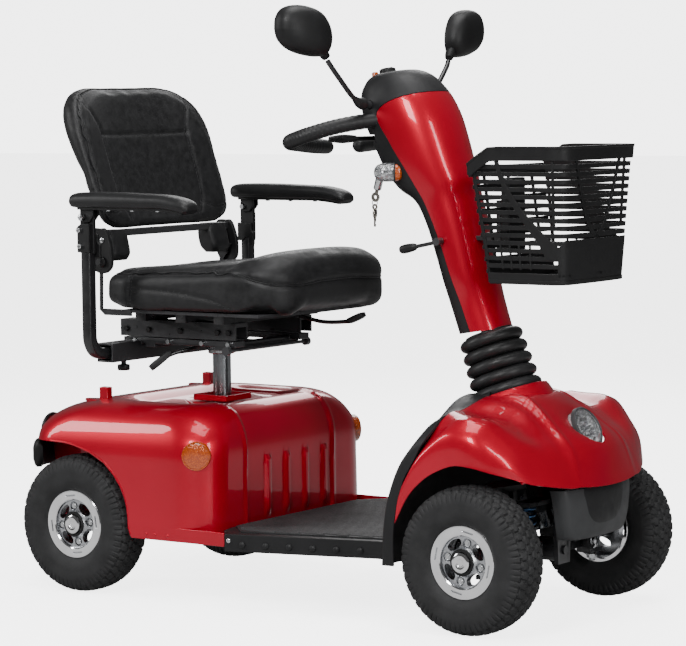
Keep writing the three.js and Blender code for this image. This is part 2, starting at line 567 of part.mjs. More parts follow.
// ---- controls ----
part('throttle_lever', join([bar([556, 0, THROTTLE_Z - 5], [556, 0, THROTTLE_Z + 5], 12, 12),
  ...both((s) => bent([[552, 0], [528, 30], [506, 70],
    [492, 112]].map(([x, y]) => [x, s * y, THROTTLE_Z]), 4.5, 8))]), GREY);
part('speed_dial', bar([545, 0, 965.4], [543, 0, 978], 15, 16, 13), BLACK);
part('horn_button', bar([540.8, -34, 957.5], [538.8, -34, 970.5], 6, 10), AMBER);
part('ignition_key', join([bar([552, -34, 794], [541.5, -34, 757], 7.5, 12),
  box([536, 545], [-36, -32], [738, 760])]), STEEL);
part('tilt_lever', join([bar([696, -61.4, 667], [696, -76, 667], 7, 10),
  bar([696, -70, 667], [684, -70, 664], 5, 10), bar([684, -70, 664], [634, -74, 654], 4.5, 10),
  bar([634, -74, 654], [626, -75, 652], 8, 12)]), BLACK);

// ---- mirrors ----
for (const [name, s] of [['left', 1], ['right', -1]]) {
  part(`mirror_stalk_${name}`, join([bar([556, s * 70, 910.2], [556, s * 104, 914], 7, 10),
    bent([[556, s * 98, 913], [556, s * 116, 918], [554, s * 150, 944], [551, s * 186, 978],
      [549, s * 196, 990]], 5, 8)]), BLACK);
  const toe = THREE.MathUtils.degToRad(s > 0 ? 3 : -20);
  const face = [-Math.sin(toe), Math.cos(toe), 0];
  const look = [-Math.cos(toe), -Math.sin(toe), 0];
  const ring = (d, a, b) => ovalRing([545 - look[0] * d, s * 258 - look[1] * d, 1041], face, [0, 0, 1], a,
    b, 2.5, 16);
  part(`mirror_head_${name}`,
    join([skin([ring(-12, 50, 40), ring(-10, 58, 47), ring(4, 58, 47), ring(18, 44, 36),
    ring(26, 20, 16)]),
    bar([547, s * 202, 1001], [545, s * 222, 1020], 8, 10)]), BLACK);
}

// ---- basket ----
const basketRing = (z, x0, x1, h, d = 0) => [[x0 + d, -h + d, z], [x1 - 22 - d, -h + d, z],
  [x1 - d, -h + 22 + d, z], [x1 - d, 0, z],
  [x1 - d, h - 22 - d, z], [x1 - 22 - d, h - d, z], [x0 + d, h - d, z], [x0 + d, 0, z]];
const basketAt = (z, d = 0) => {
  const t = (z - 598) / 240;
  return basketRing(z, 826 - 34 * t, 978 + 14 * t, 110 + 18 * t, d);
};
const basketOuter = join([skin([basketAt(598), basketAt(826)]),
  skin([basketAt(824, -5), basketAt(838, -5)])]);
const basketVoid = skin([basketAt(604, 4), basketAt(860, 4)]);
const slope = plate([[700, 770], [786, 801], [852, 838.5], [852, 900], [700, 900]], 'y', -200, 200);
part('basket', cut(join([cut(basketOuter, [basketVoid]), box([800, 822], [-30, 30], [640, 790])]),
  [slope]), BLACK);
part('basket_bracket', cut(join([box([742, 799.4], [-24, 24], [668, 676]),
  box([790, 799.4], [-24, 24], [650, 740])]),
  [skin(columnRings(-0.3))]), STEEL);

// ---- seat ----
part('seat_post', join([bar([SEAT_X, 0, 190], [SEAT_X, 0, 455], SEAT_POST_R, 14),
  bar([SEAT_X, 0, 448], [SEAT_X, 0, 455], 30, 16)]), STEEL);
part('swivel_base', cut(join([
  box([30, SEAT_X + 97], [-60, 60], [455.4, 462]),
  ...both((s) => box([8, 275], span(s, 88, 118), [462, 474])),
  box([60, 84], [-118, 118], [455.4, 468]), box([226, 250], [-118, 118], [455.4, 468]),
  box([ARM_X - 19, ARM_X + 19], [-205, 205], [ARM_RECEIVER_Z - 18, ARM_RECEIVER_Z + 18]),
]), [box([ARM_X - 14, ARM_X + 14], [-300, 300], [ARM_RECEIVER_Z - 14, ARM_RECEIVER_Z + 14])]), FRAME);
const carriage = join([
  ...both((s) => join([box([4, 279], span(s, 84, 122), [500, 508]),
    box([4, 279], span(s, 84, 87.4), [476, 508]), box([4, 279], span(s, 118.6, 122), [476, 508])])),
  box([64, 88], [-150, 150], [508, 530]), box([160, 184], [-150, 150], [508, 530]),
    box([250, 274], [-150, 150], [508, 530]),
  plate([[62, -186], [380, -186], [396, -120], [396, 120], [380, 186], [62, 186]], 'z', 526, 532),
  ...both((s) => plate([[8, 530], [10, 636], [38, 636], [15.6, 600], [14, 532], [84, 532], [84, 520],
    [20, 520]], 'y', ...span(s, 184, 188))),
  ...both((s) => bar([FOLD_PIVOT[0], s * 184.5, FOLD_PIVOT[1]], [FOLD_PIVOT[0], s * 210, FOLD_PIVOT[1]],
    6, 14)),
]);
part('seat_carriage', carriage, FRAME);

const seatSection = (x, h, z0, z1, bolster) => [[x, -h + 14, z0], [x, -h, z0 + 22], [x, -h, z1 - 30],
  [x, -h + 18, z1 - 6], [x, -h * 0.7, z1],
  [x, -h * 0.35, z1 - bolster], [x, 0, z1 - bolster], [x, h * 0.35, z1 - bolster], [x, h * 0.7, z1],
    [x, h - 18, z1 - 6], [x, h, z1 - 30],
  [x, h, z0 + 22], [x, h - 14, z0], [x, 0, z0]];
part('seat_cushion', skin([seatSection(16, 160, 560, 596, 2), seatSection(24, 186, 544, 608, 3),
  seatSection(60, 202, 533, 615, 6),
  seatSection(150, 207, 532.4, 620, 8), seatSection(280, 208, 532.4, 632, 9),
    seatSection(360, 203, 533, 642, 7), seatSection(404, 182, 540, 644, 4),
  seatSection(424, 150, 550, 632, 2), seatSection(434, 118, 562, 616, 0)]), VINYL);

// back sections: height, half width, then X of the front and rear faces at the middle and at the wings
const BACK = [[680, 158, 24, 30, 4, 12], [696, 188, 16, 40, -8, 16], [740, 200, 2, 34, -36, -4],
  [800, 202, -18, 16, -64, -38],
  [865, 202, -42, 0, -92, -74], [912, 190, -60, -24, -108, -92], [938, 160, -72, -52, -112, -100],
    [950, 120, -82, -74, -108, -102]];
const backRing = ([z, h, f, fw, r, rw]) => {
  const side = (s) => [[f + (fw - f) * 0.12, 0.5], [f + (fw - f) * 0.6, 0.84], [fw, 0.97],
    [(fw + rw) / 2, 1], [rw, 0.97],
    [r + (rw - r) * 0.4, 0.7]].map(([x, k]) => [x, s * h * k, z]);
  return [[f, 0, z], ...side(1), [r, 0, z], ...side(-1).reverse()];
};
part('back_cushion', skin(BACK.map(backRing)), VINYL);
part('back_frame', cut(join([
  ...both((s) => plate([[10, 606], [8, 640], [4, 678], [28, 678], [40, 640], [40, 606]], 'y',
    ...span(s, 191, 196))),
  box([4, 28], [-196, 196], [666, 679.5]),
]), [bar([FOLD_PIVOT[0], -300, FOLD_PIVOT[1]], [FOLD_PIVOT[0], 300, FOLD_PIVOT[1]], 6.6, 12)]), FRAME);

for (const [name, s] of [['left', 1], ['right', -1]]) {
  const y = (v) => s * v;
  part(`arm_tube_${name}`, join([
    bent([[ARM_X, y(8), ARM_RECEIVER_Z], [ARM_X, y(214), ARM_RECEIVER_Z],
      [ARM_X, y(236), ARM_RECEIVER_Z + 6], [ARM_X, y(246), ARM_RECEIVER_Z + 22],
      [ARM_X, y(ARM_Y), ARM_RECEIVER_Z + 44], [ARM_X, y(ARM_Y), 676]], ARM_R, 12),
    box([ARM_X - 16, ARM_X + 17], span(s, ARM_Y - 4, ARM_Y + 4), [660, 718]),
    bar([ARM_X - 4, y(ARM_Y - 14), 708], [ARM_X - 4, y(ARM_Y + 14), 708], 5, 12),
  ]), FRAME);
  part(`armrest_${name}`, cut(join([
    skin([[4, 727, 743, 19], [12, 727, 751, 25], [60, 727, 754, 25], [150, 728, 752, 25],
      [236, 727, 750, 25], [268, 722, 744, 24],
      [284, 715, 732, 18]].map(([x, z0, z1, h]) => ovalRing([x, y(ARM_Y), (z0 + z1) / 2], [0, 1, 0],
        [0, 0, 1], h, (z1 - z0) / 2, 4, 12))),
    ...both((k) => plate([[14, 730], [54, 730], [54, 712], [40, 696], [20, 696], [14, 704]], 'y',
      y(ARM_Y) + (k > 0 ? 5 : -9), y(ARM_Y) + (k > 0 ? 9 : -5))),
  ]), [bar([ARM_X - 4, -400, 708], [ARM_X - 4, 400, 708], 5.35, 12)]), BLACK);
}
part('swivel_lever', join([bent([[150, -62, 457], [142, -86, 453], [120, -120, 443], [104, -142, 428]], 4,
  8), bar([118, -122, 445], [97, -150, 418], 9, 10)]), BLACK);
part('slide_lever', join([bar([284, 66, 511], [284, 83.3, 511], 5, 10),
  bent([[284, SLIDE_Y, 511], [350, SLIDE_Y, 500], [400, SLIDE_Y, 503]], 4, 8),
    bar([396, SLIDE_Y, 502], [438, SLIDE_Y, 518], 7, 10)]), BLACK);
part('freewheel_lever', join([bar([-66, 60, 110], [-66, 60, 150], 5, 10),
  bar([-66, 60, 150], [-84, 60, 176], 4, 8), bar([-84, 60, 172], [-92, 60, 190], 8, 10)]), AMBER);

export default scooter;
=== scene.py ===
"""Looks of a four-wheel mobility scooter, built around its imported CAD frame.

Points are millimetres from the rear axle line at floor level, +X forward, +Y to the
rider's left, +Z up, as in the CAD source. at() turns them into the frame's metres.
"""

import functools
import json
import math

import bmesh
import bpy
from mathutils import Matrix, Vector
from mathutils.bvhtree import BVHTree
from mathutils.kdtree import KDTree

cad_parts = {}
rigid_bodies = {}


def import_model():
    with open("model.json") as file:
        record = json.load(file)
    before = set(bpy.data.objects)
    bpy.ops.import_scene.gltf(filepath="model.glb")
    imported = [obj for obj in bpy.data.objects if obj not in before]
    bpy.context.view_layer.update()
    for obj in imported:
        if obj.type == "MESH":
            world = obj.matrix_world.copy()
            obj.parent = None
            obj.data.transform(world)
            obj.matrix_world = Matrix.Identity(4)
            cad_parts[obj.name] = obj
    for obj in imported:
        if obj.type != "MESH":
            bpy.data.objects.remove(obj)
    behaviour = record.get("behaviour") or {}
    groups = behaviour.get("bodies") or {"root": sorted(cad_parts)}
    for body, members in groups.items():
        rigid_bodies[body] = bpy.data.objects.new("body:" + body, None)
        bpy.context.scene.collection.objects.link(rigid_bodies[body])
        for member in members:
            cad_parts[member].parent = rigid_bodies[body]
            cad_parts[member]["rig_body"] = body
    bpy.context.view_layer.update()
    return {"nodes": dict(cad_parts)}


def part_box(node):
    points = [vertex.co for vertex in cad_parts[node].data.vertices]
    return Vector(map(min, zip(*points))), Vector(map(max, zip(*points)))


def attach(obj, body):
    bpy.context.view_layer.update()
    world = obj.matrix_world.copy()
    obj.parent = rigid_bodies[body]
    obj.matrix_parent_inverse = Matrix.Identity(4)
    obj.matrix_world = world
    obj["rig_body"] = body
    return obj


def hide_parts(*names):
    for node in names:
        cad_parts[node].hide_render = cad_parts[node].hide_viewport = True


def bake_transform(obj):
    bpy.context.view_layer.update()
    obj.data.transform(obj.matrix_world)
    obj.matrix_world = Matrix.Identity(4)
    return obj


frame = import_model()

# ---------------------------------------------------------------- places from the frame
MM = 0.001


def middle(node):
    low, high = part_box(node)
    return (low + high) / 2


AXLE_X = middle("tyre_rear_left").x
AXLE_Z = middle("tyre_rear_left").z / MM
WHEELBASE = (middle("tyre_front_left").x - AXLE_X) / MM
REAR_TRACK = middle("tyre_rear_left").y / MM
FRONT_TRACK = middle("tyre_front_left").y / MM
SEAT_X = (middle("seat_post").x - AXLE_X) / MM
ARM_X = 33
ARM_Y = 248
STEER_X, STEER_Z = 777, 451
STEER_LEAN = math.radians(20)
STEER_DIR = Vector((-math.sin(STEER_LEAN), 0, math.cos(STEER_LEAN)))
SIDES = (("left", 1), ("right", -1))


def at(x, y, z):
    return Vector((AXLE_X + x * MM, y * MM, z * MM))


def steer_at(z):
    return Vector((STEER_X - (z - STEER_Z) * math.tan(STEER_LEAN), 0, z))


# ---------------------------------------------------------------- shapes, in millimetres
class Shape:
    def __init__(self, points=(), faces=()):
        self.points = [tuple(p) for p in points]
        self.faces = [tuple(f) for f in faces]

    def __add__(self, other):
        n = len(self.points)
        return Shape(self.points + other.points, self.faces + [tuple(i + n for i in f) for f in other.faces])

    def moved(self, change):
        """The same shape with change(point) for each point."""
        return Shape([change(*p) for p in self.points], self.faces)


def total(shapes):
    out = Shape()
    for s in shapes:
        out = out + s
    return out


def catmull(values, t):
    """The value at t on a smooth curve through values; each value is a tuple of numbers."""
    last = len(values) - 1
    i = min(int(t), last - 1)
    f = t - i
    a, b, c, d = (values[min(max(i + k, 0), last)] for k in (-1, 0, 1, 2))
    return tuple(0.5 * (2 * q + (r - p) * f + (2 * p - 5 * q + 4 * r - s) * f * f +
                        (3 * q - p - 3 * r + s) * f ** 3)
                 for p, q, r, s in zip(a, b, c, d))


def smooth(values, steps):
    count = (len(values) - 1) * steps
    return [catmull(values, k / steps) for k in range(count + 1)]


def smooth_grid(grid, row_steps, col_steps):
    rows = [smooth(row, col_steps) for row in grid]
    columns = [smooth([row[j] for row in rows], row_steps) for j in range(len(rows[0]))]
    return [[columns[j][i] for j in range(len(columns))] for i in range(len(columns[0]))]


def step(low, high, x):
    t = min(max((x - low) / (high - low), 0), 1)
    return t * t * (3 - 2 * t)


def loft(rings, caps=True, ring_closed=True, loop=False):
    n = len(rings[0])
    points = [p for ring in rings for p in ring]
    faces = []
    count = len(rings)
    for i in range(count if loop else count - 1):
        a0, b0 = i * n, ((i + 1) % count) * n
        for j in range(n if ring_closed else n - 1):
            k = (j + 1) % n
            faces.append((a0 + j, a0 + k, b0 + k, b0 + j))
    if caps and not loop:
        faces.append(tuple(range(n)))
        faces.append(tuple(range((count - 1) * n, count * n)))
    return Shape(points, faces)


def frame_of(direction):
    d = Vector(direction).normalized()
    side = Vector((0, 0, 1)).cross(d) if abs(d.z) < 0.95 else Vector((1, 0, 0)).cross(d)
    side.normalize()
    return side, d.cross(side), d


def tube(path, radius, sides=16, steps=6, section=None):
    """A rod along path. radius is a number or one for each point; section(angle) scales it."""
    radii = [radius] * len(path) if isinstance(radius, (int, float)) else list(radius)
    knots = [tuple(p) + (r,) for p, r in zip(path, radii)]
    knots = smooth(knots, steps) if steps > 1 and len(knots) > 2 else knots
    line = [Vector(k[:3]) for k in knots]
    side, _, _ = frame_of(line[1] - line[0])
    rings = []
    for i, p in enumerate(line):
        d = (line[min(i + 1, len(line) - 1)] - line[max(i - 1, 0)]).normalized()
        side = (side - d * side.dot(d)).normalized()
        up = d.cross(side)
        ring = []
        for k in range(sides):
            t = 2 * math.pi * k / sides
            u, v = section(t) if section else (math.cos(t), math.sin(t))
            ring.append(tuple(p + (side * u + up * v) * knots[i][3]))
        rings.append(ring)
    return loft(rings)


def rod(a, b, radius, sides=24, end=None):
    return tube([a, b], [radius, radius if end is None else end], sides, 1)


def lathe(profile, centre, direction, sides=48, closed=False):
    """profile is (radius, along) pairs; closed joins its last point to its first."""
    u, v, d = frame_of(direction)
    rings = []
    for k in range(sides):
        t = 2 * math.pi * k / sides
        out = u * math.cos(t) + v * math.sin(t)
        rings.append([tuple(Vector(centre) + out * r + d * a) for r, a in profile])
    return loft(rings, caps=False, ring_closed=closed, loop=True)


def block(x, y, z):
    corners = [(a, b, c) for c in z for b in y for a in x]
    return Shape(corners, [(0, 2, 3, 1), (4, 5, 7, 6), (0, 1, 5, 4), (2, 6, 7, 3), (0, 4, 6, 2),
                           (1, 3, 7, 5)])


def prism(outline, axis, low, high):
    """A flat outline pushed out along axis; the outline holds the other two coordinates."""
    place = {"x": lambda p, w: (w, p[0], p[1]), "y": lambda p, w: (p[0], w, p[1]), "z": lambda p,
             w: (p[0], p[1], w)}[axis]
    return loft([[place(p, low) for p in outline], [place(p, high) for p in outline]])


def panel(grid, thickness):
    """A sheet of even thickness behind a grid of points."""
    rows, cols = len(grid), len(grid[0])

    def point(i, j):
        return Vector(grid[min(max(i, 0), rows - 1)][min(max(j, 0), cols - 1)])

    front = [tuple(p) for row in grid for p in row]
    back = []
    for i in range(rows):
        for j in range(cols):
            n = (point(i + 1, j) - point(i - 1, j)).cross(point(i, j + 1) - point(i, j - 1)).normalized()
            back.append(tuple(point(i, j) + n * thickness))
    k = rows * cols
    faces = []
    for i in range(rows - 1):
        for j in range(cols - 1):
            a, b, c, d = i * cols + j, i * cols + j + 1, (i + 1) * cols + j + 1, (i + 1) * cols + j
            faces += [(a, b, c, d), (k + a, k + d, k + c, k + b)]
    edge = [j for j in range(cols)] + [i * cols + cols - 1 for i in range(1, rows)]
    edge += [(rows - 1) * cols + j for j in range(cols - 2, -1, -1)] + [i * cols for i in range(rows - 2, 0,
            -1)]
    for a, b in zip(edge, edge[1:] + edge[:1]):
        faces.append((a, b, k + b, k + a))
    return Shape(front + back, faces)


def oval(centre, u, v, a, b, power, count):
    """A superellipse ring with half sizes a along u and b along v."""
    ring = []
    for k in range(count):
        t = 2 * math.pi * (k + 0.5) / count
        c, s = math.cos(t), math.sin(t)
        ca = a * math.copysign(abs(c) ** (2 / power), c)
        sb = b * math.copysign(abs(s) ** (2 / power), s)
        ring.append(tuple(centre[i] + u[i] * ca + v[i] * sb for i in range(3)))
    return ring


def both(make):
    """make(1) and make(-1) together, for what the left and the right side share."""
    return make(1) + make(-1)


# ---------------------------------------------------------------- objects
def mesh_from(shape):
    mesh = bpy.data.meshes.new("shape")
    mesh.from_pydata([at(*p) for p in shape.points], [], shape.faces)
    bm = bmesh.new()
    bm.from_mesh(mesh)
    bmesh.ops.remove_doubles(bm, verts=bm.verts, dist=2e-5)
    bmesh.ops.recalc_face_normals(bm, faces=bm.faces)
    bm.to_mesh(mesh)
    bm.free()
    return mesh


def shape_from(mesh):
    points = [((v.co.x - AXLE_X) / MM, v.co.y / MM, v.co.z / MM) for v in mesh.vertices]
    return Shape(points, [tuple(p.vertices) for p in mesh.polygons])


def evaluated(obj):
    bpy.context.view_layer.update()
    return bpy.data.meshes.new_from_object(obj.evaluated_get(bpy.context.evaluated_depsgraph_get()))


def combine(shape, other, operation="DIFFERENCE"):
    """shape cut by, joined to or met with other."""
    pair = []
    for name, s in (("base", shape), ("tool", other)):
        o = bpy.data.objects.new(name, mesh_from(s))
        bpy.context.scene.collection.objects.link(o)
        pair.append(o)
    cutter = pair[0].modifiers.new("cut", "BOOLEAN")
    cutter.operation = operation
    cutter.solver = "EXACT"
    cutter.use_self = operation != "INTERSECT"
    cutter.object = pair[1]
    mesh = evaluated(pair[0])
    out = shape_from(mesh)
    for o in pair:
        data = o.data
        bpy.data.objects.remove(o)
        bpy.data.meshes.remove(data)
    bpy.data.meshes.remove(mesh)
    return out


def add(name, shape, material, body, bevel=0, sharp=38, replaces=()):
    """A piece made of shape, or of a mesh that is already made, riding on body."""
    mesh = shape if isinstance(shape, bpy.types.Mesh) else mesh_from(shape)
    obj = bpy.data.objects.new(name, mesh)
    bpy.context.scene.collection.objects.link(obj)
    if not mesh.materials:
        mesh.materials.append(material)
    for p in mesh.polygons:
        p.use_smooth = True
    if bevel:
        m = obj.modifiers.new("bevel", "BEVEL")
        m.width = bevel * MM
        m.segments = 2
        m.limit_method = "ANGLE"
        m.angle_limit = math.radians(sharp)
        m.harden_normals = True
    mesh.set_sharp_from_angle(angle=math.radians(sharp))
    if body:
        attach(obj, body)
    if replaces:
        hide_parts(*replaces)
    return obj


def refined(node, material, bevel):
    """A CAD node's own form with its flat faces joined up and its edges rounded."""
    source = frame["nodes"][node]
    bm = bmesh.new()
    bm.from_mesh(source.data)
    bmesh.ops.remove_doubles(bm, verts=bm.verts, dist=1e-5)
    bmesh.ops.dissolve_limit(bm, angle_limit=math.radians(0.5), verts=bm.verts, edges=bm.edges)
    mesh = bpy.data.meshes.new(node + "_form")
    bm.to_mesh(mesh)
    bm.free()
    return add(node + "_form", mesh, material, source["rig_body"], bevel, 32, replaces=[node])


# ---------------------------------------------------------------- materials
class Nodes:
    """A small helper over one material's node tree."""

    def __init__(self, name):
        self.material = bpy.data.materials.new(name)
        self.material.use_nodes = True
        self.tree = self.material.node_tree
        self.shader = self.tree.nodes["Principled BSDF"]
        self.place = self.new("ShaderNodeTexCoord").outputs["Object"]

    def new(self, kind, **settings):
        node = self.tree.nodes.new(kind)
        for key, value in settings.items():
            setattr(node, key, value)
        return node

    def put(self, value, socket):
        if isinstance(value, bpy.types.NodeSocket):
            self.tree.links.new(value, socket)
        else:
            socket.default_value = value

    def scaled(self, stretch):
        m = self.new("ShaderNodeMapping")
        self.put(self.place, m.inputs["Vector"])
        m.inputs["Scale"].default_value = stretch
        return m.outputs[0]

    def noise(self, scale, detail=3.0, roughness=0.5, stretch=None):
        n = self.new("ShaderNodeTexNoise")
        self.put(self.scaled(stretch) if stretch else self.place, n.inputs["Vector"])
        n.inputs["Scale"].default_value = scale
        n.inputs["Detail"].default_value = detail
        n.inputs["Roughness"].default_value = roughness
        return n.outputs["Fac"]

    def cells(self, scale, feature="F1"):
        n = self.new("ShaderNodeTexVoronoi", feature=feature)
        self.put(self.place, n.inputs["Vector"])
        n.inputs["Scale"].default_value = scale
        return n.outputs["Distance"]

    def spread(self, value, low, high, from_low=0.3, from_high=0.7):
        m = self.new("ShaderNodeMapRange")
        self.put(value, m.inputs["Value"])
        for key, number in (("From Min", from_low), ("From Max", from_high), ("To Min", low),
                            ("To Max", high)):
            m.inputs[key].default_value = number
        return m.outputs["Result"]

    def math(self, operation, a, b=0.5):
        m = self.new("ShaderNodeMath", operation=operation)
        self.put(a, m.inputs[0])
        self.put(b, m.inputs[1])
        return m.outputs[0]

    def colours(self, factor, first, second):
        m = self.new("ShaderNodeMix", data_type="RGBA")
        self.put(factor, m.inputs["Factor"])
        m.inputs["A"].default_value = (*first, 1)
        m.inputs["B"].default_value = (*second, 1)
        return m.outputs["Result"]

    def bump(self, height, depth, strength=1.0, under=None):
        b = self.new("ShaderNodeBump")
        self.put(height, b.inputs["Height"])
        b.inputs["Distance"].default_value = depth * MM
        b.inputs["Strength"].default_value = strength
        if under is not None:
            self.put(under, b.inputs["Normal"])
        return b.outputs["Normal"]

    def worn(self, amount=1.0):
        """0 on flat faces, up to amount on outer edges."""
        g = self.new("ShaderNodeNewGeometry")
        return self.spread(g.outputs["Pointiness"], 0.0, amount, 0.52, 0.6)

    def finish(self, color, roughness, normal=None, **constants):
        self.put(color if isinstance(color, bpy.types.NodeSocket) else (*color, 1),
                 self.shader.inputs["Base Color"])
        self.put(roughness, self.shader.inputs["Roughness"])
        if normal is not None:
            self.put(normal, self.shader.inputs["Normal"])
        for key, value in constants.items():
            self.shader.inputs[key.replace("_", " ")].default_value = value
        return self.material


def candy_paint():
    """Deep clear-coated red with a fine metal flake."""
    n = Nodes("candy_red_paint")
    flake = n.cells(2600)
    cloud = n.noise(5.0, 2.0)
    color = n.colours(n.spread(cloud, 0, 1), (0.40, 0.0002, 0.014), (0.50, 0.0004, 0.020))
    peel = n.bump(n.noise(150.0, 1.0), 0.02, 0.35)
    return n.finish(color, n.spread(flake, 0.26, 0.38, 0.0, 0.8), peel, Metallic=0.45, Specular_IOR_Level=0.2,
                    Coat_Weight=1.0, Coat_Roughness=0.02, Coat_IOR=1.34)


def grained_plastic(name, dark, light, grain=900.0, depth=0.10, rough=(0.42, 0.56)):
    n = Nodes(name)
    dust = n.noise(9.0, 4.0)
    grit = n.cells(grain)
    color = n.colours(n.spread(dust, 0, 1), dark, light)
    return n.finish(color, n.spread(n.noise(40.0), rough[0], rough[1]), n.bump(grit, depth, 0.55),
                    Specular_IOR_Level=0.28)


def powder_coat():
    n = Nodes("black_powder_coat")
    orange = n.noise(700.0, 2.0)
    edge = n.worn(0.35)
    color = n.colours(edge, (0.010, 0.010, 0.011), (0.09, 0.09, 0.095))
    return n.finish(color, n.spread(n.noise(60.0), 0.26, 0.42), n.bump(orange, 0.06, 0.5), Metallic=0.15,
                    Coat_Weight=0.25, Coat_Roughness=0.2)


def polished(name, tint, rough, grain_scale=(1.0, 1.0, 1.0), noise_scale=400.0):
    n = Nodes(name)
    streak = n.noise(noise_scale, 3.0, 0.6, grain_scale)
    smudge = n.noise(22.0, 3.0)
    color = n.colours(n.spread(smudge, 0, 1), tint, tuple(c * 0.86 for c in tint))
    return n.finish(color, n.spread(streak, rough[0], rough[1]), n.bump(streak, 0.01, 0.35), Metallic=1.0)


def tyre_rubber():
    n = Nodes("tyre_rubber")
    dust = n.noise(24.0, 5.0, 0.6)
    fine = n.noise(1200.0, 2.0)
    color = n.colours(n.spread(dust, 0, 1, 0.35, 0.75), (0.010, 0.010, 0.0105), (0.024, 0.024, 0.025))
    return n.finish(color, n.spread(fine, 0.58, 0.76), n.bump(fine, 0.12, 0.6), Specular_IOR_Level=0.35)


def vinyl():
    """Black upholstery vinyl with a pebbled grain and soft creases."""
    n = Nodes("seat_vinyl")
    pebbles = n.cells(430.0, "DISTANCE_TO_EDGE")
    creases = n.noise(75.0, 5.0, 0.62)
    height = n.math("ADD", n.spread(pebbles, 0.0, 1.0, 0.0, 0.35), n.math("MULTIPLY", creases, 0.9))
    soft = n.bump(n.noise(13.0, 2.0), 1.2, 0.25)
    color = n.colours(n.spread(creases, 0, 1), (0.005, 0.005, 0.0054), (0.012, 0.012, 0.0127))
    return n.finish(color, n.spread(creases, 0.40, 0.56), n.bump(height, 0.16, 0.55, soft),
                    Specular_IOR_Level=0.30, Sheen_Weight=0.04, Sheen_Roughness=0.4)


def soft_rubber(name, dark, light, rough=(0.5, 0.66)):
    n = Nodes(name)
    skin = n.noise(260.0, 3.0)
    color = n.colours(n.spread(n.noise(14.0, 4.0), 0, 1), dark, light)
    return n.finish(color, n.spread(skin, rough[0], rough[1]), n.bump(skin, 0.08, 0.5),
                    Specular_IOR_Level=0.3)


def moulded_lens(name, tint, deep, metallic, pattern, depth):
    """A reflector seen through its moulded prism pattern."""
    n = Nodes(name)
    prisms = n.cells(pattern)
    color = n.colours(n.spread(prisms, 0, 1, 0.0, 0.6), tint, deep)
    return n.finish(color, n.spread(prisms, 0.08, 0.22, 0.0, 0.7), n.bump(prisms, depth, 1.0),
                    Metallic=metallic, Coat_Weight=1.0, Coat_Roughness=0.03)


def clear_plastic():
    n = Nodes("clear_plastic")
    ripple = n.noise(60.0, 1.0)
    return n.finish((0.96, 0.97, 0.98), n.spread(ripple, 0.02, 0.06), n.bump(ripple, 0.05, 0.3),
                    Transmission_Weight=1.0, IOR=1.35)


def mirror_glass():
    n = Nodes("mirror_glass")
    haze = n.noise(12.0, 3.0)
    return n.finish(n.colours(haze, (0.86, 0.88, 0.9), (0.78, 0.8, 0.82)), n.spread(haze, 0.015, 0.05),
                    n.bump(haze, 0.01, 0.1), Metallic=1.0)


def thread():
    n = Nodes("seam_thread")
    twist = n.noise(1500.0, 2.0)
    return n.finish(n.colours(twist, (0.016, 0.016, 0.017), (0.034, 0.034, 0.036)), n.spread(twist, 0.6, 0.8),
                    n.bump(twist, 0.1, 0.6))


def studio_floor():
    """A near-white sweep that glows a little, so it stays pale and keeps a soft shadow."""
    n = Nodes("studio_floor")
    mottle = n.noise(6.0, 2.0)
    n.shader.inputs["Emission Color"].default_value = (1, 1, 1, 1)
    seen = n.new("ShaderNodeLightPath").outputs["Is Camera Ray"]
    n.put(n.math("ADD", n.math("MULTIPLY", seen, 3.8), 0.06), n.shader.inputs["Emission Strength"])
    tone = n.math("ADD", n.math("MULTIPLY", seen, 0.9), n.math("MULTIPLY", mottle, 0.1))
    return n.finish(n.colours(tone, (0.40, 0.40, 0.40), (0.94, 0.94, 0.94)), n.spread(mottle, 0.7, 0.8))


RED = candy_paint()
BLACK = grained_plastic("black_grained_plastic", (0.0045, 0.0045, 0.0048), (0.009, 0.009, 0.0094))
GREY = grained_plastic("charcoal_plastic", (0.007, 0.007, 0.0076), (0.013, 0.013, 0.0137), 800.0, 0.12,
                       (0.45, 0.6))
LIGHT_GREY = grained_plastic("grey_bumper_band", (0.030, 0.031, 0.032), (0.042, 0.043, 0.045), 700.0, 0.1,
                             (0.45, 0.6))
COAT = powder_coat()
CHROME = polished("polished_alloy", (0.86, 0.86, 0.87), (0.07, 0.16))
DISH = polished("cast_alloy", (0.50, 0.51, 0.53), (0.22, 0.36), noise_scale=700.0)
STEEL = polished("drawn_steel", (0.33, 0.345, 0.36), (0.16, 0.32), (1.0, 1.0, 0.04), 900.0)
ZINC = polished("zinc_plate", (0.62, 0.63, 0.64), (0.18, 0.3))
TYRE = tyre_rubber()
VINYL = vinyl()
RUBBER = soft_rubber("bellows_rubber", (0.010, 0.010, 0.010), (0.019, 0.019, 0.020), (0.36, 0.5))
GRIP = soft_rubber("grip_rubber", (0.0065, 0.0065, 0.007), (0.013, 0.013, 0.0135), (0.40, 0.52))
MAT = soft_rubber("foot_mat_rubber", (0.016, 0.016, 0.017), (0.034, 0.034, 0.035))
AMBER = moulded_lens("amber_reflector", (0.72, 0.13, 0.003), (0.34, 0.045, 0.001), 0.1, 420.0, 0.6)
RUBY = moulded_lens("red_tail_lens", (0.55, 0.01, 0.012), (0.28, 0.004, 0.006), 0.2, 380.0, 0.6)
FACETS = moulded_lens("lamp_reflector", (0.88, 0.88, 0.88), (0.40, 0.40, 0.41), 0.35, 170.0, 1.6)
CLEAR = clear_plastic()
MIRROR = mirror_glass()
THREAD = thread()
WIRE = polished("blue_spring_wire", (0.055, 0.13, 0.26), (0.25, 0.4))
KEY_METAL = polished("nickel_plate", (0.60, 0.56, 0.50), (0.15, 0.3))


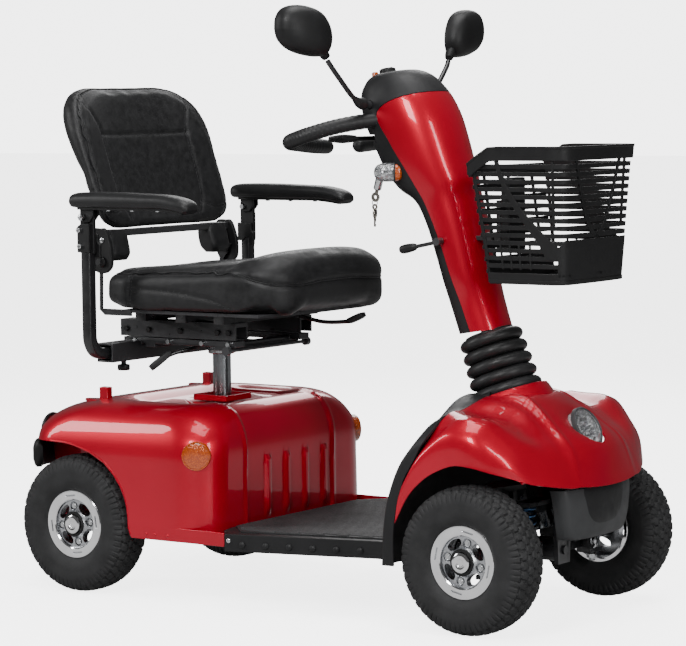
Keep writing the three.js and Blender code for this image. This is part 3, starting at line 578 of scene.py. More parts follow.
# ---------------------------------------------------------------- camera, light and floor
CAMERA_AZIMUTH = math.radians(35.07)
CAMERA_TILT = math.radians(4.66)
CAMERA_ROLL = math.radians(-0.67)
CAMERA_DISTANCE = 5309.0
CAMERA_AIM = (438.0, 0.0, 506.5)
LENS = 149.8
SENSOR_WIDTH = 36
WORLD_SOFT, WORLD_SEEN = 0.10, 4.6
FLOOR_HALF_WIDTH = 30000


def studio():
    back = Vector((math.sin(CAMERA_AZIMUTH) * math.cos(CAMERA_TILT), -math.cos(CAMERA_AZIMUTH) *
                   math.cos(CAMERA_TILT), math.sin(CAMERA_TILT)))
    right = Vector((math.cos(CAMERA_AZIMUTH), math.sin(CAMERA_AZIMUTH), 0))
    up = back.cross(right)
    c, s = math.cos(CAMERA_ROLL), math.sin(CAMERA_ROLL)
    across, above = right * c + up * s, up * c - right * s
    data = bpy.data.cameras.new("camera")
    data.lens = LENS
    data.sensor_width = SENSOR_WIDTH
    camera = bpy.data.objects.new("camera", data)
    bpy.context.scene.collection.objects.link(camera)
    place = at(*CAMERA_AIM) + back * CAMERA_DISTANCE * MM
    camera.matrix_world = Matrix.Translation(place) @ Matrix((across, above, back)).transposed().to_4x4()
    bpy.context.scene.camera = camera

    world = bpy.data.worlds.new("studio")
    world.use_nodes = True
    tree = world.node_tree
    soft = tree.nodes["Background"]
    seen = tree.nodes.new("ShaderNodeBackground")
    for background, strength in ((soft, WORLD_SOFT), (seen, WORLD_SEEN)):
        background.inputs["Color"].default_value = (1, 1, 1, 1)
        background.inputs["Strength"].default_value = strength
    either = tree.nodes.new("ShaderNodeMixShader")
    tree.links.new(tree.nodes.new("ShaderNodeLightPath").outputs["Is Camera Ray"], either.inputs[0])
    tree.links.new(soft.outputs[0], either.inputs[1])
    tree.links.new(seen.outputs[0], either.inputs[2])
    tree.links.new(either.outputs[0], tree.nodes["World Output"].inputs["Surface"])
    bpy.context.scene.world = world

    lights = (
        ("key", (0.9, -2.9, 2.5), (0.9, 1.3), 96),
        ("front", (3.3, -1.2, 1.6), (0.5, 2.2), 60),
        ("top", (0.3, 0.1, 3.2), (2.6, 1.5), 84),
        ("rear", (-2.5, -1.9, 1.8), (0.45, 2.0), 46),
        ("rim", (-1.6, 2.8, 2.2), (1.6, 1.6), 40),
    )
    for name, spot, size, power in lights:
        light = bpy.data.lights.new(name, "AREA")
        light.shape = "RECTANGLE"
        light.size, light.size_y = size
        light.energy = power
        lamp = bpy.data.objects.new(name, light)
        bpy.context.scene.collection.objects.link(lamp)
        aim = Vector((0, 0, 0.45)) - Vector(spot)
        lamp.matrix_world = Matrix.Translation(Vector(spot)) @ aim.to_track_quat("-Z",
                "Y").to_matrix().to_4x4()

    half = FLOOR_HALF_WIDTH
    floor = add("studio_floor", Shape([(-half, -half, 0), (half, -half, 0), (half, half, 0),
                                       (-half, half, 0)], [(0, 1, 2, 3)]), studio_floor(), None)


studio()


# ---------------------------------------------------------------- wheels
TREAD_HALF = 36.0
TYRE_STEPS = 336
TYRE_ROWS = 62
BLOCKS_ROUND = 46
BLOCK_WIDTH = 14.0
GROOVE = 3.2


def tyre_section(s):
    """(radius, across) at s, 0 at one bead to 1 at the other."""
    beads = [(62.6, -25), (67.2, -32.5), (80, -39.5), (98, -41.9), (113, -40), (122.5, -34), (127.6, -24),
             (129.7, -12), (130, 0)]
    outline = beads + [(r, -a) for r, a in reversed(beads[:-1])]
    return catmull(outline, s * (len(outline) - 1))


def tread_depth(turn, across, radius):
    """How far the tread is cut away: six-sided blocks in the middle, ribs on the shoulders."""
    u = turn * BLOCKS_ROUND
    v = across / BLOCK_WIDTH
    near = []
    for row in range(math.floor(v + 0.5) - 1, math.floor(v + 0.5) + 2):
        shift = 0.5 * (row % 2)
        centre = math.floor(u - shift + 0.5) + shift
        for k in (-1, 0, 1):
            near.append(math.hypot((centre + k - u) * 1.12, row - v))
    near.sort()
    gap = near[1] - near[0]
    blocks = GROOVE * (1 - step(0.08, 0.3, gap)) if abs(across) < TREAD_HALF else 0
    lug = abs((turn * BLOCKS_ROUND * 1.5) % 1 - 0.5)
    ribs = 2.0 * (1 - step(0.06, 0.2, lug)) * step(104, 110, radius) * step(32, 36, abs(across))
    return max(blocks, ribs)


def tyre_shape():
    rings = []
    for i in range(TYRE_STEPS):
        turn = i / TYRE_STEPS
        t = 2 * math.pi * turn
        ring = []
        for j in range(TYRE_ROWS):
            radius, across = tyre_section(j / (TYRE_ROWS - 1))
            cutting = tread_depth(turn, across, radius) if radius > 103 else 0
            cutting += (0.7 * math.exp(-((radius - 90) / 1.6) ** 2) +
                        0.6 * math.exp(-((radius - 76) / 1.4) ** 2))
            level = radius - cutting * step(60, 118, radius) * 0.98
            width = across * (1 - 0.016 * cutting)
            ring.append((level * math.cos(t), width, level * math.sin(t)))
        rings.append(ring)
    inside = [(62.2, 25), (62.2, -25)]
    for i, ring in enumerate(rings):
        t = 2 * math.pi * i / TYRE_STEPS
        ring.extend((r * math.cos(t), a, r * math.sin(t)) for r, a in inside)
    return loft(rings, caps=False, loop=True)


def around(radius, angle, across):
    return (radius * math.cos(angle), across, radius * math.sin(angle))


def rim_shape():
    """The outer face looks along +Y."""
    profile = [(10, -20), (19, -20), (20.5, 6), (30, 11), (44, 11.5), (55, 9), (57, -31), (63.5, -31.5),
               (65.2, -30), (64.8, -28), (61.4, -25.4), (61.4, 25.4), (64.8, 28), (65.2, 30), (63.6, 31.6),
               (61, 31.8), (47.5, 31), (45.6, 29.5), (44.2, 25), (36, 24.6), (27, 25.8), (24.5, 28.5),
               (23.5, 30), (10, 30)]
    rim = lathe(profile, (0, 0, 0), (0, 1, 0), 96, closed=True)
    cutters = []
    for k in range(4):
        a = math.pi / 2 * k + 0.35
        hole = []
        for r, swing in ((26.5, -0.20), (33, -0.42), (41, -0.36), (43, 0.0), (41, 0.36), (33, 0.42),
                         (26.5, 0.20)):
            hole.append(around(r, a + swing, 0))
        cutters.append(prism(smooth([(p[0], p[2]) for p in hole], 4), "y", 0, 50))
        b = a + math.pi / 4
        cutters.append(rod(around(34, b, 19), around(34, b, 50), 8.6, 28))
        slit = [(r, b + swing) for r, swing in ((54.6, -0.22), (56.6, -0.2), (56.6, 0.2), (54.6, 0.22),
                                                (53.4, 0.2), (53.4, -0.2))]
        cutters.append(prism([(r * math.cos(t), r * math.sin(t)) for r, t in slit], "y", 29.6, 50))
    return combine(rim, total(cutters))


def rim_bolts():
    parts = []
    for k in range(4):
        b = math.pi / 2 * k + 0.35 + math.pi / 4
        centre = around(34, b, 19)
        parts.append(lathe([(0, 6.2), (3.0, 6.2), (3.4, 5.6), (3.4, 5.0), (5.4, 5.0), (5.6, 4.6), (5.6, 0.6),
                            (8.0, 0.4), (8.0, -0.6)], centre, (0, 1, 0), 24))
    return total(parts)


def cap_shapes():
    ring = lathe([(18.4, 29.6), (23.4, 29.6), (23.6, 32.0), (22.6, 33.4), (19.4, 33.4), (18.4, 32.4)],
                 (0, 0, 0), (0, 1, 0), 64, closed=True)
    cap = lathe([(0, 37.3), (6.0, 37.3), (7.0, 38.1), (9.4, 38.1), (10.4, 38.5), (14.5, 38.2), (17.2, 36.9),
                 (18.3, 30.6), (18.3, 29.4), (0, 29.4)], (0, 0, 0), (0, 1, 0), 64)
    return ring, cap


def wheel_meshes():
    meshes = {}
    ring, cap = cap_shapes()
    for key, shape, material in (("tyre", tyre_shape(), TYRE), ("rim", rim_shape(), CHROME),
                                 ("bolts", rim_bolts(), ZINC), ("cap_ring", ring, BLACK),
                                 ("cap", cap, CHROME)):
        mesh = mesh_from(shape.moved(lambda x, y, z: (x - AXLE_X / MM, y, z)))
        mesh.materials.append(material)
        if key == "rim":
            mesh.materials.append(DISH)
            for p in mesh.polygons:
                radius = math.hypot(p.center.x, p.center.z) / MM
                if radius < 45.4 or abs(p.center.y) / MM < 29.8 and radius < 60:
                    p.material_index = 1
        meshes[key] = mesh
    return meshes


def wheels():
    meshes = wheel_meshes()
    for end, x, track in (("rear", 0, REAR_TRACK), ("front", WHEELBASE, FRONT_TRACK)):
        for side, s in SIDES:
            where = f"{end}_{side}"
            spin = Matrix.Rotation(0 if s > 0 else math.pi, 4, "Z")
            turned = spin @ Matrix.Rotation(math.radians(37 * s + (20 if end == "rear" else 0)), 4, "Y")
            for key, node, slot in (("tyre", "tyre_", "tyre"), ("rim", "rim_", "chrome"),
                                    ("bolts", None, "steel"), ("cap_ring", None, "black_plastic"),
                                    ("cap", None, "chrome")):
                mesh = meshes[key].copy()
                mesh.transform(turned)
                obj = add(f"{key}_on_{where}", mesh, None, None, sharp=30)
                obj.location = at(x, s * track, AXLE_Z)
                bpy.context.view_layer.update()
                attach(obj, f"wheel_{where}")
                if node:
                    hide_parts(node + where)
    for mesh in meshes.values():
        bpy.data.meshes.remove(mesh)


wheels()

# ---------------------------------------------------------------- rear body
SHELL = 4.0
REAR_KEYS = [(116, -92, 312, 268, 70, 60), (150, -98, 313, 268, 70, 60), (230, -110, 313, 267.4, 72, 61),
             (286, -117, 313, 266, 74, 62), (318, -110, 305, 254, 80, 72), (342, -80, 290, 235, 86, 86),
             (355, -36, 270, 210, 80, 90), (359.6, 2, 250, 180, 70, 80), (357, 24, 238, 158, 58, 66),
             (349, 44, 226, 136, 50, 56)]
RIB_YS = (-69, -9, 51, 111)
CREASE_Y = 136


def rear_relief(x, y, z):
    """The sunk middle panel, its creases and the four upright ribs of the front face."""
    inner = 1 - step(CREASE_Y - 5, CREASE_Y + 2, abs(y))
    front = step(262, 286, x)
    top = step(330, 346, z)
    ridge = 2.2 * math.exp(-((abs(y) - CREASE_Y - 4) / 4.5) ** 2)
    rib = sum(math.exp(-(abs(y - r) / 8.0) ** 4) for r in RIB_YS)
    upright = step(146, 156, z) * (1 - step(250, 262, z))
    out = front * (1 - top) * (-3.5 * inner + ridge + 6.5 * rib * upright)
    up = top * (-2.6 * inner * step(20, 60, x) + ridge) * (1 if x > 0 else 0.4)
    return x + out, y, z + up


def rear_ring(z, x0, x1, half, front_r, rear_r):
    ring = []

    def corner(cx, cy, r, start, count=14):
        for k in range(count):
            t = start + math.pi / 2 * k / (count - 1)
            ring.append((cx + r * math.cos(t), cy + r * math.sin(t), z))

    def side(a, b, count):
        for k in range(1, count + 1):
            f = k / (count + 1)
            ring.append((a[0] + (b[0] - a[0]) * f, a[1] + (b[1] - a[1]) * f, z))

    corner(x1 - front_r, half - front_r, front_r, 0)
    side((x1 - front_r, half), (x0 + rear_r, half), 14)
    corner(x0 + rear_r, half - rear_r, rear_r, math.pi / 2)
    side((x0, half - rear_r), (x0, rear_r - half), 30)
    corner(x0 + rear_r, rear_r - half, rear_r, math.pi)
    side((x0 + rear_r, -half), (x1 - front_r, -half), 14)
    corner(x1 - front_r, front_r - half, front_r, 1.5 * math.pi)
    side((x1, front_r - half), (x1, half - front_r), 120)
    return ring


def rear_solid(t, relief):
    keys = smooth(REAR_KEYS, 6)
    rings = []
    for z, x0, x1, half, fr, rr in keys:
        ring = rear_ring(z - (t if z >= 200 else 0), x0 + t, x1 - t, half - t, fr, rr)
        rings.append([relief(*p) for p in ring] if relief else ring)
    if t:
        rings.insert(0, [(x, y, 60.0) for x, y, _ in rings[0]])
    return loft(rings)


ARCH = [(-240, 40), (-240, 286), (-55, 284), (-22, 283), (8, 278), (42, 268), (76, 251), (99, 230),
        (115, 209), (125, 189), (130, 171), (132.5, 150), (133, 134), (138, 120), (148, 108), (150, 40)]


def arch(grow, inner):
    outline = [(x + (grow if x > 60 else 0), z + (grow if z > 100 else 0)) for x, z in ARCH]
    return prism(outline, "y", inner, 330) + prism(outline, "y", -330, -inner)


def rear_body():
    outer = combine(rear_solid(0, rear_relief), arch(0, 186))
    hollow = combine(rear_solid(SHELL, None), arch(SHELL, 182))
    cuts = [block((-240, -10), (-182, 182), (60, 205)), block((290, 330), (-150, 150), (60, 134.5)),
            rod((0, -190, AXLE_Z), (0, 190, AXLE_Z), 14), rod((SEAT_X, 0, 300), (SEAT_X, 0, 400), 24, 48)]
    cover = combine(outer, hollow)
    for c in cuts:
        cover = combine(cover, c)
    add("rear_cover_shell", cover, RED, "chassis", sharp=28, replaces=["rear_cover"])

    skirts = both(lambda s: block((150, 357), sorted((s * 264.4, s * 268)), (116, 141.6)))
    add("rear_cover_skirts", skirts, RED, "chassis", bevel=1.2)
    edge = smooth(ARCH[2:14], 3)
    lips = both(lambda s: tube([(x + 1.5, s * 266.8, z + 1.5) for x, z in edge], 1.9, 8, 1))
    add("rear_arch_lips", lips, RED, "chassis")
    studs = [rod((x, s * 267.6, 126), (x, s * 269.6, 126), 3.6, 16, 2.2) for s in (1, -1)
             for x in (176, 196, 226)]
    add("skirt_studs", total(studs), RED, "chassis")

    plate = combine(block((SEAT_X - 39, SEAT_X + 39), (-39, 39), (349.4, 352.5)),
                    rod((SEAT_X, 0, 340), (SEAT_X, 0, 370), 24, 48))
    walls = [block((SEAT_X - 39.6, SEAT_X + 39.6), (-39.6, -34.4), (350, 361)),
             block((SEAT_X + 34.4, SEAT_X + 39.6), (-39.6, 39.6), (350, 361)),
             block((SEAT_X - 39.6, SEAT_X + 39.6), (34.4, 39.6), (350, 361)),
             block((SEAT_X - 39.6, SEAT_X - 34.4), (-39.6, 39.6), (350, 361))]
    add("post_plate", plate + total(walls), RED, "chassis", bevel=1.0, replaces=["post_collar"])

    base = [(-52, -5), (-20, -17), (26, -17), (26, 17), (-20, 17), (-52, 5)]
    tabs = both(lambda s: prism([(x, 160 * s + y) for x, y in base], "z", 351, 356.5) +
                block((-14, 6), (160 * s - 8, 160 * s + 8), (354, 380)))
    add("cover_tabs", tabs, RED, "chassis", bevel=2.0)

    around_post = [t * math.pi / 12 for t in range(25)]
    seal = tube([(SEAT_X + 25 * math.cos(t), 25 * math.sin(t), 353.4) for t in around_post], 2.2, 8, 2)
    add("post_seal", seal, RUBBER, "chassis")

    for side, s in SIDES:
        spot, face = (283.5, s * 251.6, 275), (0.45, s * 0.89, 0)
        ring = lathe([(24.2, -13), (26.6, -13), (26.6, 2.6), (26.0, 3.8), (24.8, 4.0), (24.2, 3.2)], spot,
                     face, 64, closed=True)
        add(f"reflector_ring_{side}", ring, AMBER, "chassis")
        lens = lathe([(0, 4.6), (12, 4.4), (22, 3.4), (24.4, 2.4), (24.4, -13), (0, -13)], spot, face, 64)
        add(f"side_reflector_{side}", lens, AMBER, "chassis")
        lamp = lathe([(0, 9.0), (16, 8.0), (23, 5.4), (25, 2), (25, -4), (0, -4)], (-109, s * 196, 300),
                     (-1, 0, 0.1), 48)
        add(f"tail_lamp_{side}", lamp, RUBY, "chassis")
        bezel = lathe([(25.2, -3), (29.5, -3), (29.5, 2.6), (27.6, 4.2), (25.2, 4)], (-109, s * 196, 300),
                      (-1, 0, 0.1), 48, closed=True)
        add(f"tail_bezel_{side}", bezel, BLACK, "chassis")


def bumper_arc():
    half = [(-135, 0), (-134.4, 80), (-133, 150), (-127, 205), (-115, 236), (-101, 250)]
    return smooth([(x, -y) for x, y in reversed(half)] + half[1:], 5)


def rear_bumper():
    section = [(0, 229), (-3.4, 233), (-6.4, 244), (-6.4, 266), (-3.4, 277), (0, 281.6), (9, 281.6),
               (11, 276), (11, 234), (9, 229)]
    rings = []
    arc = bumper_arc()
    for i, (x, y) in enumerate(arc):
        a, b = arc[max(i - 1, 0)], arc[min(i + 1, len(arc) - 1)]
        out = Vector((b[1] - a[1], -(b[0] - a[0]))).normalized()
        pinch = 1 - 0.35 * step(0.93, 1.0, abs(2 * i / (len(arc) - 1) - 1))
        rings.append([(x + out.x * d, y + out.y * d, 255 + (z - 255) * pinch) for d, z in section])
    add("rear_bumper_bar", loft(rings), BLACK, "chassis", sharp=50, replaces=["rear_bumper"])
    brackets = both(lambda s: block((-128, -116), (s * 134 - 15, s * 134 + 15), (214, 262)))
    add("bumper_brackets", brackets, COAT, "chassis", bevel=1.5)


rear_body()
rear_bumper()

# ---------------------------------------------------------------- floor
MAT_PITCH = 11
FLOOR_HALF = [(320, 0), (320, 196), (330, 232), (357.5, 256), (357.5, 268), (643, 195), (698.6, 195)]


def plan(half, inset=0.0):
    pts = [(x + (inset if x < 400 else -inset), max(0, y - inset)) for x, y in half]
    return [(x, -y) for x, y in reversed(pts[1:])] + pts


def floor_parts():
    tray = combine(prism(plan(FLOOR_HALF), "z", 108, 140), prism(plan(FLOOR_HALF, 4), "z", 90, 135.4))
    tray = combine(tray, block((300, 720), (-150, 150), (90, 135.4)))
    add("floor_tray", tray, GREY, "chassis", bevel=1.6, replaces=["floor_pan"])
    mat_half = [(326, 0), (326, 190), (372, 238), (640, 176), (690, 176)]
    add("foot_mat_base", prism(plan(mat_half), "z", 140.3, 142.6), MAT, "chassis",
        replaces=["foot_mat"])
    ribs = []
    for y in range(-231, 232, MAT_PITCH):
        low = 330 if abs(y) < 186 else 330 + (abs(y) - 186) * 0.95
        high = 686 if abs(y) < 172 else 640 - (abs(y) - 172) * 4.2
        if high - low < 30:
            continue
        rings = []
        for x, lift in ((low, 0.0), (low + 3, 1.0), (high - 3, 1.0), (high, 0.0)):
            rings.append([(x, y - 3.4, 142.4), (x, y - 2.2, 142.4 + 2.4 * lift),
                          (x, y + 2.2, 142.4 + 2.4 * lift), (x, y + 3.4, 142.4)])
        ribs.append(loft(rings))
    add("foot_mat_ribs", total(ribs), MAT, "chassis", sharp=20)
    domes = []
    for s in (1, -1):
        for k in range(6):
            x = 392 + k * 44
            y = s * (268 - (x - 357.5) * (73 / 285.5))
            domes.append(lathe([(0, 4.2), (3, 3.8), (5.6, 2.2), (6.6, -1.0)], (x, y, 121), (0.25, s, 0), 20))
    add("tray_studs", total(domes), GREY, "chassis")
    screws = both(lambda s: lathe([(0, 2.0), (2.6, 1.8), (4, 0.8), (4.2, -1)], (366, s * 266, 128),
                                  (0.25, s, 0), 16))
    add("tray_screws", screws, ZINC, "chassis")


floor_parts()

# ---------------------------------------------------------------- front body
HOOD_HALF = [
    [(728, 265, 188), (748, 265, 262), (806, 228, 370), (800, 150, 380), (800, 95, 392), (800, 50, 399),
     (800, 0, 401)],
    [(755, 265, 236), (772, 265, 300), (820, 226, 373), (812, 150, 377), (814, 95, 392), (814, 50, 400),
     (814, 0, 403)],
    [(785, 265, 266), (798, 264, 326), (835, 224, 375), (826, 150, 373), (830, 95, 391), (830, 50, 401),
     (830, 0, 404)],
    [(815, 265, 284), (825, 263, 343), (850, 222, 376), (846, 150, 369), (850, 95, 388), (852, 50, 400),
     (853, 0, 403)],
    [(850, 265, 296), (855, 262, 348), (868, 219, 375), (872, 150, 364), (876, 95, 382), (880, 50, 394),
     (882, 0, 397)],
    [(884, 262, 294), (886, 256, 342), (894, 212, 367), (896, 148, 357), (902, 95, 370), (908, 48, 378),
     (911, 0, 381)],
    [(912, 250, 286), (914, 243, 322), (922, 200, 344), (928, 144, 339), (938, 93, 346), (946, 46, 352),
     (949, 0, 354)],
    [(935, 232, 278), (942, 222, 299), (952, 182, 314), (966, 136, 311), (980, 90, 312), (990, 45, 314),
     (993, 0, 316)],
    [(955, 208, 268), (966, 190, 262), (980, 163, 257), (994, 130, 252), (1005, 88, 249), (1011, 45, 246),
     (1013, 0, 245)]]
SHIELD_HALF = [
    [(724, 264.6, 112), (701, 264.6, 112), (701, 250, 112), (701, 195, 112), (701, 120, 112), (701, 60, 112),
     (701, 0, 112)],
    [(726, 264.6, 186), (704, 264.6, 170), (703, 250, 170), (702, 195, 168), (701, 120, 160), (700, 60, 160),
     (700, 0, 160)],
    [(744, 264.6, 258), (714, 264.6, 228), (713, 250, 228), (708, 195, 228), (700, 120, 226), (697, 60, 226),
     (697, 0, 226)],
    [(768, 264.6, 300), (736, 264.6, 284), (735, 250, 285), (728, 195, 288), (706, 120, 290), (697, 60, 290),
     (695, 0, 290)],
    [(786, 262, 332), (762, 262, 322), (762, 248, 326), (752, 192, 334), (724, 120, 345), (706, 60, 350),
     (703, 0, 352)],
    [(799, 246, 356), (784, 246, 352), (782, 236, 358), (775, 188, 368), (756, 120, 382), (736, 60, 390),
     (730, 0, 392)],
    [(805, 229, 372), (804, 228, 373), (802, 215, 375), (799, 150, 380.4), (799, 95, 392), (799, 50, 399),
     (799, 0, 401)]]
LAMP = Vector((950, 0, 336))
LAMP_DIR = Vector((0.872, 0, 0.489)).normalized()


def full_row(half):
    return [tuple(p) for p in half] + [(x, -y, z) for x, y, z in reversed(half[:-1])]


def hood_relief(x, y, z):
    """Two creases that run from the collar to the nose, and the fold along each fender."""
    along = step(806, 850, x) * (1 - step(985, 1010, x))
    nose = 62 + 30 * step(860, 1000, x)
    crease = 3.4 * math.exp(-((abs(y) - nose) / 7) ** 2) - 2.4 * math.exp(-((abs(y) - nose - 20) / 13) ** 2)
    fold = 1.6 * math.exp(-((abs(y) - 236 + 0.5 * max(0, x - 880)) / 7) ** 2)
    fold = fold * step(760, 800, x) * (1 - step(930, 960, x))
    recess = -5.5 * math.exp(-(((x - 955) / 34) ** 2 + (y / 44) ** 2) ** 2)
    return x + 0.45 * recess, y, z + along * crease + fold + recess * 0.8


def front_body():
    grid = smooth_grid([full_row(r) for r in HOOD_HALF], 9, 10)
    grid = [[hood_relief(*p) for p in row] for row in grid]
    hood = panel(grid, SHELL)
    opening = rod(steer_at(335), steer_at(470), 67, 64)
    hood = combine(hood, opening)
    hood = combine(hood, rod(LAMP - LAMP_DIR * 36, LAMP + LAMP_DIR * 60, 36, 64))
    add("front_cover_shell", hood, RED, "chassis", sharp=30, replaces=["front_cover"])

    shield = panel(smooth_grid([full_row(r) for r in SHIELD_HALF], 8, 8), SHELL)
    shield = combine(shield, opening)
    add("leg_shield_panel", shield, GREY, "chassis", sharp=30, replaces=["leg_shield"])

    collar = lathe([(67.5, -26), (67.5, 0), (69.5, 3), (72.5, 2), (75, -3), (78, -12), (81, -26)],
                   steer_at(392), STEER_DIR, 96, closed=True)
    front_half = block((805, 1000), (-90, 90), (300, 460))
    rear_half = block((600, 804.4), (-90, 90), (300, 460))
    add("collar_front", combine(collar, front_half, "INTERSECT"), RED, "chassis", sharp=30)
    dome = lathe([(67.5, -40), (67.5, 6), (70, 9), (73, 7), (79, -2), (86, -16), (90, -40)], steer_at(392),
                 STEER_DIR, 96, closed=True)
    add("collar_rear", combine(dome, rear_half, "INTERSECT"), BLACK, "chassis", sharp=30)

    def liner(s):
        rows = [[(x, s * 185 + 37, 304), (x, s * 186, 307), (x, s * 185 - 37, 304)]
                for x in range(745, 871, 25)]
        return panel(smooth_grid(rows, 2, 4), 2.5)

    add("wheel_house_liners", both(liner), BLACK, "chassis", sharp=40)

    rows = []
    for z, x, w in ((153, 991, 92), (160, 995, 99), (180, 997.5, 108), (205, 998, 114), (228, 997, 119),
                    (244, 994, 121)):
        rows.append([(x - 40, -w, z), (x - 22, -w * 0.97, z), (x - 10, -w * 0.86, z), (x - 2, -w * 0.5, z),
                     (x, 0, z), (x - 2, w * 0.5, z), (x - 10, w * 0.86, z), (x - 22, w * 0.97, z),
                     (x - 40, w, z)])
    grid = smooth_grid(rows, 4, 6)
    add("front_bumper_band", panel(grid, 5), LIGHT_GREY, "chassis", bevel=1.2, sharp=40,
        replaces=["front_bumper"])
    inner = [[(x + 2.2, y * 0.80, 244 - (244 - z) * 0.80) for x, y, z in row] for row in grid]
    add("front_bumper_panel", panel(inner, 3), GREY, "chassis", bevel=1.4, sharp=40)

    u, v, d = frame_of(LAMP_DIR)
    bowl = lathe([(0, -6), (14, -5), (26, 0), (33, 8), (34.4, 14), (35.6, 14), (35.6, -8), (0, -8)], LAMP,
                 LAMP_DIR, 64)
    add("headlight_bowl", bowl, FACETS, "chassis", replaces=["headlight"])
    leds = []
    for ring, count in ((0, 1), (11, 6), (22, 12)):
        for k in range(count):
            t = 2 * math.pi * k / count + ring
            c = LAMP + u * ring * math.cos(t) + v * ring * math.sin(t) + d * (ring * ring * 0.008)
            leds.append(lathe([(0, 8.5), (2.2, 8.0), (3.6, 6.2), (4.2, 3.0), (4.4, -4)], c, LAMP_DIR, 14))
    add("headlight_leds", total(leds), FACETS, "chassis")
    lens = lathe([(0, 21.5), (12, 20.8), (24, 18.4), (33, 14.5), (34.2, 13), (33.4, 12.2), (24, 16.4),
                  (12, 18.8), (0, 19.5)], LAMP, LAMP_DIR, 64)
    add("headlight_lens", lens, CLEAR, "chassis")
    bezel = lathe([(34.6, 8), (34.6, 15.5), (36.4, 17), (38.6, 15), (39.4, 8)], LAMP, LAMP_DIR, 72,
                  closed=True)
    add("headlight_bezel", bezel, LIGHT_GREY, "chassis")
    screws = both(lambda s: lathe([(0, 2.2), (2.6, 2.0), (4.4, 0.8), (4.6, -1)], (746, s * 264.6, 250),
                                  (0, s, 0), 18))
    add("fender_screws", screws, BLACK, "chassis")


def bellows():
    folds = 5
    height = 120.0
    profile = [(52, -9), (61, -7), (63, -3), (58, 0)]
    for k in range(folds * 14 + 1):
        t = k / (folds * 14)
        u = (t * folds) % 1 if k < folds * 14 else 1
        profile.append((50.5 - 6.0 * t + (14.5 - 1.5 * t) * max(1 - (2 * u - 1) ** 2, 0) ** 0.55,
                        1.5 + (height - 3) * t))
    profile += [(44, height + 1), (40, height + 2), (38, height + 1)]
    inside = [(38, height - 4), (44, -2)]
    shape = lathe(profile + inside, steer_at(388), STEER_DIR, 96, closed=True)
    obj = add("bellows_boot", shape, RUBBER, None, sharp=50)
    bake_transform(obj)
    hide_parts("bellows")


front_body()
bellows()

# ---------------------------------------------------------------- front axle and running gear
SPRING_X, SPRING_Y = 884, 78
SPRING_LOW, SPRING_HIGH = 134.8, 205.6
SPRING_R, SPRING_WIRE, SPRING_TURNS = 13.5, 2.7, 5.2


def coil_spring(x, y):
    """A coil whose ends lie flat on the seats at the bottom and the top."""
    path = []
    count = int(SPRING_TURNS * 20)
    for k in range(count + 1):
        t = k / count
        a = 2 * math.pi * SPRING_TURNS * t
        share = min(max((t - 0.08) / 0.84, 0), 1)
        rise = SPRING_LOW + SPRING_WIRE + (SPRING_HIGH - SPRING_LOW - 2 * SPRING_WIRE) * share
        path.append((x + SPRING_R * math.cos(a), y + SPRING_R * math.sin(a), rise))
    return tube(path, SPRING_WIRE, 10, 1)


def running_gear():
    for node, material, slot, bevel in (
            ("main_frame", COAT, "black_metal", 1.4), ("front_axle", COAT, "black_metal", 1.2),
            ("transaxle", GREY, "grey_plastic", 2.0), ("drive_motor", COAT, "black_metal", 2.0),
            ("battery_left", BLACK, "battery_case", 2.0), ("battery_right", BLACK, "battery_case", 2.0),
            ("spindle_left", ZINC, "steel", 0.6), ("spindle_right", ZINC, "steel", 0.6),
            ("tie_rod", ZINC, "steel", 0.5), ("steering_stem", STEEL, "steel", 0.6),
            ("tiller_tube", STEEL, "steel", 0.6), ("freewheel_lever", AMBER, "amber", 0.6)):
        refined(node, material, bevel)
    for side, s in SIDES:
        spring = add(f"coil_spring_{side}", coil_spring(SPRING_X, s * SPRING_Y), WIRE, None)
        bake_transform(spring)
        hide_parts(f"spring_{side}")
        bush = lathe([(9, -7), (15.5, -7), (16.5, -5.5), (16.5, 5.5), (15.5, 7), (9, 7)],
                     (WHEELBASE + 24, s * 128, 119), (1, 0, 0), 40, closed=True)
        add(f"axle_bush_{side}", bush, GREY, "front_axle")
        bolt = lathe([(0, 17), (5.4, 17), (7.4, 15.5), (7.4, 10), (9.6, 9.6), (9.6, 7.6), (6, 7.4), (6, -9),
                      (0, -9)], (WHEELBASE + 24, s * 128, 119), (1, 0, 0), 24)
        add(f"axle_bolt_{side}", bolt, ZINC, "front_axle")
        nut = lathe([(0, -13), (5.5, -13), (6.2, -12), (6.2, -8), (10.2, -7.6), (10.2, 0), (0, 0)],
                    (WHEELBASE, s * 181, 84.5), (0, 0, 1), 6)
        add(f"kingpin_nut_{side}", nut, ZINC, "front_axle", bevel=0.5)
    boots = both(lambda s: lathe([(5.4, -12), (8, -12), (11, -4), (11, 3), (8, 8), (5.4, 8)],
                                 (804, s * 168.5, 140), (0, -s, 0), 20, closed=True))
    add("tie_rod_boots", boots, RUBBER, "tie_rod")


running_gear()

# ---------------------------------------------------------------- tiller
COLUMN = [(505, 752, 43, 50), (512, 750, 43, 50), (560, 734, 43.4, 52), (600, 722, 44, 57),
          (650, 708, 45.5, 59), (700, 693, 48, 61), (743, 675, 53, 64), (768, 655, 68, 70),
          (800, 636, 76, 76), (840, 619, 80, 80), (880, 602, 82, 82), (915, 586, 78, 80), (940, 575, 68, 73),
          (955, 570, 57, 64), (964, 566, 46, 54), (969, 565, 34, 42)]
SEAM = [(480, 760), (512, 747), (597, 716), (668, 691), (740, 660), (793, 632), (847, 598), (898, 574),
        (931, 640), (945, 760)]
TOP_TILT = 0.16
HANDLE = [(600, 30, 884), (566, 70, 884), (524, 128, 874), (486, 166, 860), (460, 178, 850), (446, 170, 845),
          (442, 140, 842), (442, 100, 838), (443, 52, 835)]


